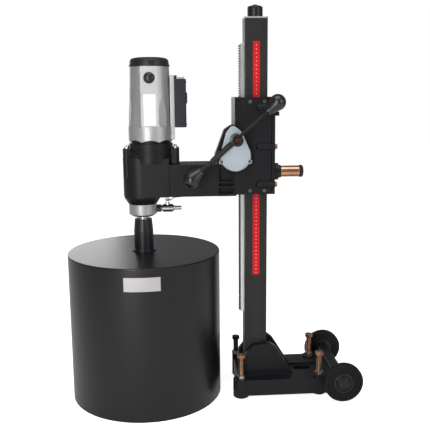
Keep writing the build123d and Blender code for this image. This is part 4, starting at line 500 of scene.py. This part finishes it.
# %% [markdown]
# ## Crank
# The crank is a hub with a bar through it and a drop-shaped knob at each end. The
# knobs and rods lie along a slanted axis, so each is turned about that axis at
# once, in place of being turned upright and tilted afterwards.
# %% Turn the knobs
knob_low, knob_high = (Vector(corner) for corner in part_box("crank_knobs"))
ball = 20.5
hub_place = middle_of("crank_shaft")
bar_y = (knob_low.y + knob_high.y) / 2
upper_ball = Vector((knob_high.x - ball * mm, bar_y, knob_high.z - ball * mm))
lower_ball = Vector((knob_low.x + ball * mm, bar_y, knob_low.z + ball * mm))
bar_way = (upper_ball - lower_ball).normalized()
bar_middle = Vector((hub_place.x, bar_y, hub_place.z))
knob_profile = [(0, -36), (8.4, -36), (9.6, -35.2), (9.9, -33.8), (9.8, -32.4),
                (10.8, -29.5), (12.8, -25), (15.4, -18), (17.9, -11), (19.6, -5.5)]
knob_profile += [(ball * cos(radians(step)), ball * sin(radians(step)))
                 for step in range(-8, 90, 8)]
knob_profile += [(0, ball)]
turn(knob_profile, upper_ball, bar_way, steps=40)
hand_over("knob_upper", "crank", "gloss_black", "crank_knobs")
turn(knob_profile, lower_ball, -bar_way, steps=40)
hand_over("knob_lower", "crank", "gloss_black")
print("knob centres", upper_ball, lower_ball)

# %% Turn the hub, the ridged sleeve and the knurled rods
def ridged(start, end, radius, pitch, depth):
    """Profile points that go up and down by depth once every pitch."""
    count = int((end - start) / pitch)
    points = []
    for ridge in range(count):
        base = start + ridge * pitch
        points += [(radius - depth, base), (radius, base + 0.35 * pitch),
                   (radius, base + 0.75 * pitch)]
    return points + [(radius - depth, end)]


bar_low, bar_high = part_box("crank_bar")
hub_axis = Vector((hub_place.x, 0, hub_place.z))
hub_front, hub_back = -bar_low[1] / mm, -bar_high[1] / mm
turn([(7.2, hub_back), (13.5, hub_back), (15, hub_back + 1.5), (15, hub_back + 14),
      (14.2, hub_back + 15), (14.2, hub_front - 13), (15, hub_front - 12),
      (15, hub_front - 2.5), (14.2, hub_front - 0.8), (12.6, hub_front), (10.2, hub_front),
      (9.2, hub_front - 1), (9, hub_front - 5.5), (7.2, hub_front - 6), (7.2, hub_back)],
     hub_axis, (0, -1, 0))
hub = bpy.context.object
knob_neck = 35  # the rods end this far from a ball's centre, inside the neck
reach_low = (lower_ball - bar_middle).length / mm - knob_neck
reach_high = (upper_ball - bar_middle).length / mm - knob_neck
turn([(0, 8), (6.5, 8)] + ridged(12, 76, 7.5, 4.0, 0.35) + [(7.0, 80), (5.6, 82)]
     + ridged(83, reach_low, 5.4, 2.8, 0.9) + [(0, reach_low)], bar_middle, -bar_way, steps=28)
sleeve = bpy.context.object
turn([(0, 8), (3.2, 8)] + ridged(12, reach_high, 4.4, 2.8, 0.8) + [(0, reach_high)],
     bar_middle, bar_way, steps=20)
join_last(hub, sleeve, bpy.context.object)
hand_over("crank_bar_ridged", "crank", "dark_steel", "crank_bar")

# %% Turn the plug in the hub's recess
turn([(0, hub_front - 4.2), (2.2, hub_front - 4.2), (2.8, hub_front - 3.4), (6.2, hub_front - 3.4),
      (7.1, hub_front - 4.2), (7.1, hub_front - 6.9), (0, hub_front - 6.9)], hub_axis, (0, -1, 0))
plug_finish = make_finish("plug_dark_red", (0.045, 0.008, 0.008), 0.4, grain=400, bump=0.06,
                          specular=0.3)
hand_over("hub_plug", "crank", "lever_red", finish=plug_finish)

# %% [markdown]
# ## Wheels
# Each wheel is a solid tyre on a dished hub, held by a bolt. The tyre has a flat
# tread, round shoulders and two shallow rings in its wall. One profile serves
# both wheels, turned outwards from the base on each side.
# %% Turn the wheels
tyre_low, tyre_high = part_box("wheel_tyre_near")
wide = (tyre_high[1] - tyre_low[1]) / mm
tall = (tyre_high[2] - tyre_low[2]) / 2 / mm
inner_gap = -tyre_high[1]
cap_finish = make_finish("wheel_cap_brown", (0.045, 0.026, 0.018), 0.4, metallic=0.6,
                         grain=900, bump=0.12, spread=0.3)
tyre_profile = [
    (26.2, 1.5), (44, 1.2), (48, 1.6), (50.6, 3), (tall, 5.5), (tall, wide - 5.5),
    (50.8, wide - 2.8), (48.6, wide - 1), (46, wide - 0.4), (43.2, wide - 0.4),
    (42.4, wide - 1.6), (40.4, wide - 1.6), (39.6, wide - 0.8), (33, wide - 0.8),
    (32.2, wide - 2), (27.4, wide - 2.2), (26.2, wide - 1), (26.2, 1.5)]
rim_profile = [
    (12.4, 0.5), (25.9, 0.5), (25.9, wide - 0.8), (24.4, wide), (22.6, wide - 0.4),
    (21.4, wide - 4.6), (17.2, wide - 6), (15.6, wide - 5), (14.6, wide - 2.4),
    (13.4, wide - 1.8), (12.4, wide - 2.4), (12.4, 0.5)]
washer_profile = [
    (0, wide - 3.4), (14.2, wide - 3.4), (14.2, wide - 1.8), (9.6, wide - 1.2),
    (9.2, wide + 1.2), (0, wide + 1.8)]
for side, direction in (("near", -1), ("far", 1)):
    wheel = "wheel_" + side
    outward = (0, direction, 0)
    centre = middle_of("wheel_tyre_" + side)
    centre.y = direction * inner_gap
    turn(tyre_profile, centre, outward, steps=72)
    hand_over("tyre_" + side, wheel, "black_rubber", "wheel_tyre_" + side)
    turn(rim_profile, centre, outward, steps=64)
    hand_over("hub_" + side, wheel, "black_plastic", "wheel_hub_" + side)
    turn(washer_profile, centre, outward, steps=40)
    washer = bpy.context.object
    hex_block(centre, 15, wide + 0.8, wide + 3.2, outward)
    join_last(washer, bpy.context.object)
    hand_over("wheel_cap_" + side, wheel, "dark_steel", finish=cap_finish)

# %% [markdown]
# ## Levelling bolts
# Each corner has a hexagon bolt whose tip presses on the floor. The thread is a
# zigzag profile spun round, which reads as a thread at this size and stays light.
# The bolt is modelled once, then copied to the other three corners.
# %% Turn one bolt and copy it
def bolt_shape(place):
    turn([(0, 0), (5.2, 0), (5.8, 1)] + ridged(3, 105, 7.0, 2.0, 0.8) + [(6.2, 106), (0, 106)],
         place, steps=24)
    shank = bpy.context.object
    hex_block(place, 19.9, 105.5, 114.2)
    head = bpy.context.object
    turn([(0, 113.9), (8.8, 113.9), (8.4, 114.7), (0, 115)], place, steps=24)
    join_last(shank, head, bpy.context.object)


bolt_places = {}
for corner in ("front_near", "front_far", "rear_near", "rear_far"):
    node = "levelling_bolt_" + corner
    low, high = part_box(node)
    bolt_places[corner] = Vector(((low[0] + high[0]) / 2, (low[1] + high[1]) / 2, low[2]))
first_place = bolt_places["front_near"]
bolt_shape(first_place)
bolt = bpy.context.object
copies = {"front_near": bolt}
for corner in ("front_far", "rear_near", "rear_far"):
    copy = bpy.data.objects.new("bolt_" + corner, bolt.data.copy())
    bpy.context.scene.collection.objects.link(copy)
    copy.data.transform(Matrix.Translation(bolt_places[corner] - first_place))
    copies[corner] = copy
for corner, copy in copies.items():
    clear_selection()
    copy.select_set(True)
    bpy.context.view_layer.objects.active = copy
    node = "levelling_bolt_" + corner
    hand_over("bolt_" + corner, body_of_node[node], slot_of_node[node], node)

# %% [markdown]
# ## Scale marks
# The red strip carries a small pale dot every ten millimetres. One dot is a thin
# eight-sided disc with a bevelled rim, and an array repeats it up the strip, so
# that every dot stays on the same pitch.
# %% Repeat a mark up the strip
strip_low, strip_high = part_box("scale_strip")
clear_selection()
mark_across = 2.6 * mm
mark_thick = 0.3 * mm
mark_sunk = 0.05 * mm
first_mark = 5 * mm
mark_pitch = 10 * mm
mark_y = strip_low[1] - mark_thick / 2 + mark_sunk
bpy.ops.mesh.primitive_cylinder_add(vertices=8, radius=mark_across / 2, depth=mark_thick,
                                    location=(0, mark_y, strip_low[2] + first_mark),
                                    rotation=(pi / 2, 0, 0))
bpy.ops.object.transform_apply(location=True, rotation=True)
bpy.ops.object.modifier_add(type="BEVEL")
rim = bpy.context.object.modifiers[-1]
rim.width = 0.08 * mm
bpy.ops.object.modifier_apply(modifier=rim.name)
bpy.ops.object.modifier_add(type="ARRAY")
rows = bpy.context.object.modifiers[-1]
rows.use_relative_offset = False
rows.use_constant_offset = True
rows.constant_offset_displace = (0, 0, mark_pitch)
rows.count = int((strip_high[2] - strip_low[2]) / mark_pitch)
bpy.ops.object.modifier_apply(modifier=rows.name)
mark_finish = make_finish("mark_print", (0.80, 0.42, 0.42), 0.4, grain=400, bump=0.02)
hand_over("scale_marks", "stand", "white_label", finish=mark_finish)

# %% [markdown]
# ## Switch box fittings
# Four screws hold the outer face of the switch box. A cable clip and a terminal
# block sit on its top, on the side of the motor. The blocks are cubes with every
# edge rounded, and the screws have a recess turned into their heads.
# %% Screws, clip and terminal block
box_low, box_high = (Vector(corner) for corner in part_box("switch_box"))


def rounded_block(low, high, round_by):
    """A block between two corners, with every edge rounded."""
    clear_selection()
    size = high - low
    bpy.ops.mesh.primitive_cube_add(size=1, location=(low + high) / 2, scale=size)
    bpy.ops.object.transform_apply(location=True, scale=True)
    bpy.ops.object.mode_set(mode="EDIT")
    bpy.ops.mesh.select_all(action="SELECT")
    bpy.ops.mesh.bevel(offset=round_by * mm, segments=3, affect="EDGES")
    bpy.ops.object.mode_set(mode="OBJECT")
    return bpy.context.object


top = box_high.z
rounded_block(Vector((box_low.x - 1 * mm, -21 * mm, top - 4 * mm)),
              Vector((box_low.x + 7 * mm, -9 * mm, top + 9 * mm)), 1.2)
hand_over("terminal_block", "carriage", "black_plastic")
rounded_block(Vector((box_low.x + 8 * mm, -20 * mm, top - 1 * mm)),
              Vector((box_high.x - 4 * mm, -11 * mm, top + 5 * mm)), 1.0)
hand_over("cable_clip", "carriage", "silver_casting")
lid_screws = []
screw_inset = 8 * mm
screw_x = box_high.x - 0.5 * mm
for side_y in (-1, 1):
    for screw_z in (box_low.z + screw_inset, box_high.z - screw_inset):
        spot = Vector((screw_x, side_y * (box_high.y - screw_inset), screw_z))
        turn([(0, -1), (2.6, -1), (2.6, 0.8), (2.2, 1.4), (1.2, 1.5), (1.1, 0.7), (0, 0.7)],
             spot, (1, 0, 0), steps=20)
        lid_screws.append(bpy.context.object)
join_last(*lid_screws)
hand_over("lid_screws", "carriage", "dark_steel")

# %% [markdown]
# ## Hose nipple and lock grip
# The nipple has three barbs that hold the hose. The lock's grip is a plain tube
# with a rolled edge at both ends. Both are turned about a level axis.
# %% Turn the nipple and the grip
nipple_low, nipple_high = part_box("hose_nipple")
water_line = middle_of("hose_nipple")
nipple_place = Vector((nipple_low[0], water_line.y, water_line.z))
nipple_long = (nipple_high[0] - nipple_low[0]) / mm
barbs = [(6.9, 0), (7.5, 0.6), (7.5, 3.4), (6.9, 4), (4.6, 4.6)]
for barb in range(3):
    start = 6 + 5.4 * barb
    barbs += [(4.6, start), (6.0, start + 0.5), (6.0, start + 1.2), (4.7, start + 4.8)]
turn([(3.5, 0)] + barbs + [(4.4, nipple_long), (3.5, nipple_long), (3.5, 0)],
     nipple_place, (1, 0, 0), steps=32)
hand_over("nipple_barbed", "carriage", "chrome", "hose_nipple")
grip_low, grip_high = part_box("lock_grip")
grip_line = middle_of("lock_grip")
grip_place = Vector((grip_low[0], grip_line.y, grip_line.z))
grip_long = (grip_high[0] - grip_low[0]) / mm
turn([(6.1, 0), (13.6, 0), (14.6, 0.6), (15, 1.6), (14.7, 3), (14.7, grip_long - 3),
      (15, grip_long - 1.6), (14.6, grip_long - 0.6), (13.6, grip_long), (6.1, grip_long),
      (6.1, 0)], grip_place, (1, 0, 0), steps=56)
hand_over("grip_tube", "lock", "copper_grip", "lock_grip")

# %% Update the view layer
bpy.context.view_layer.update()
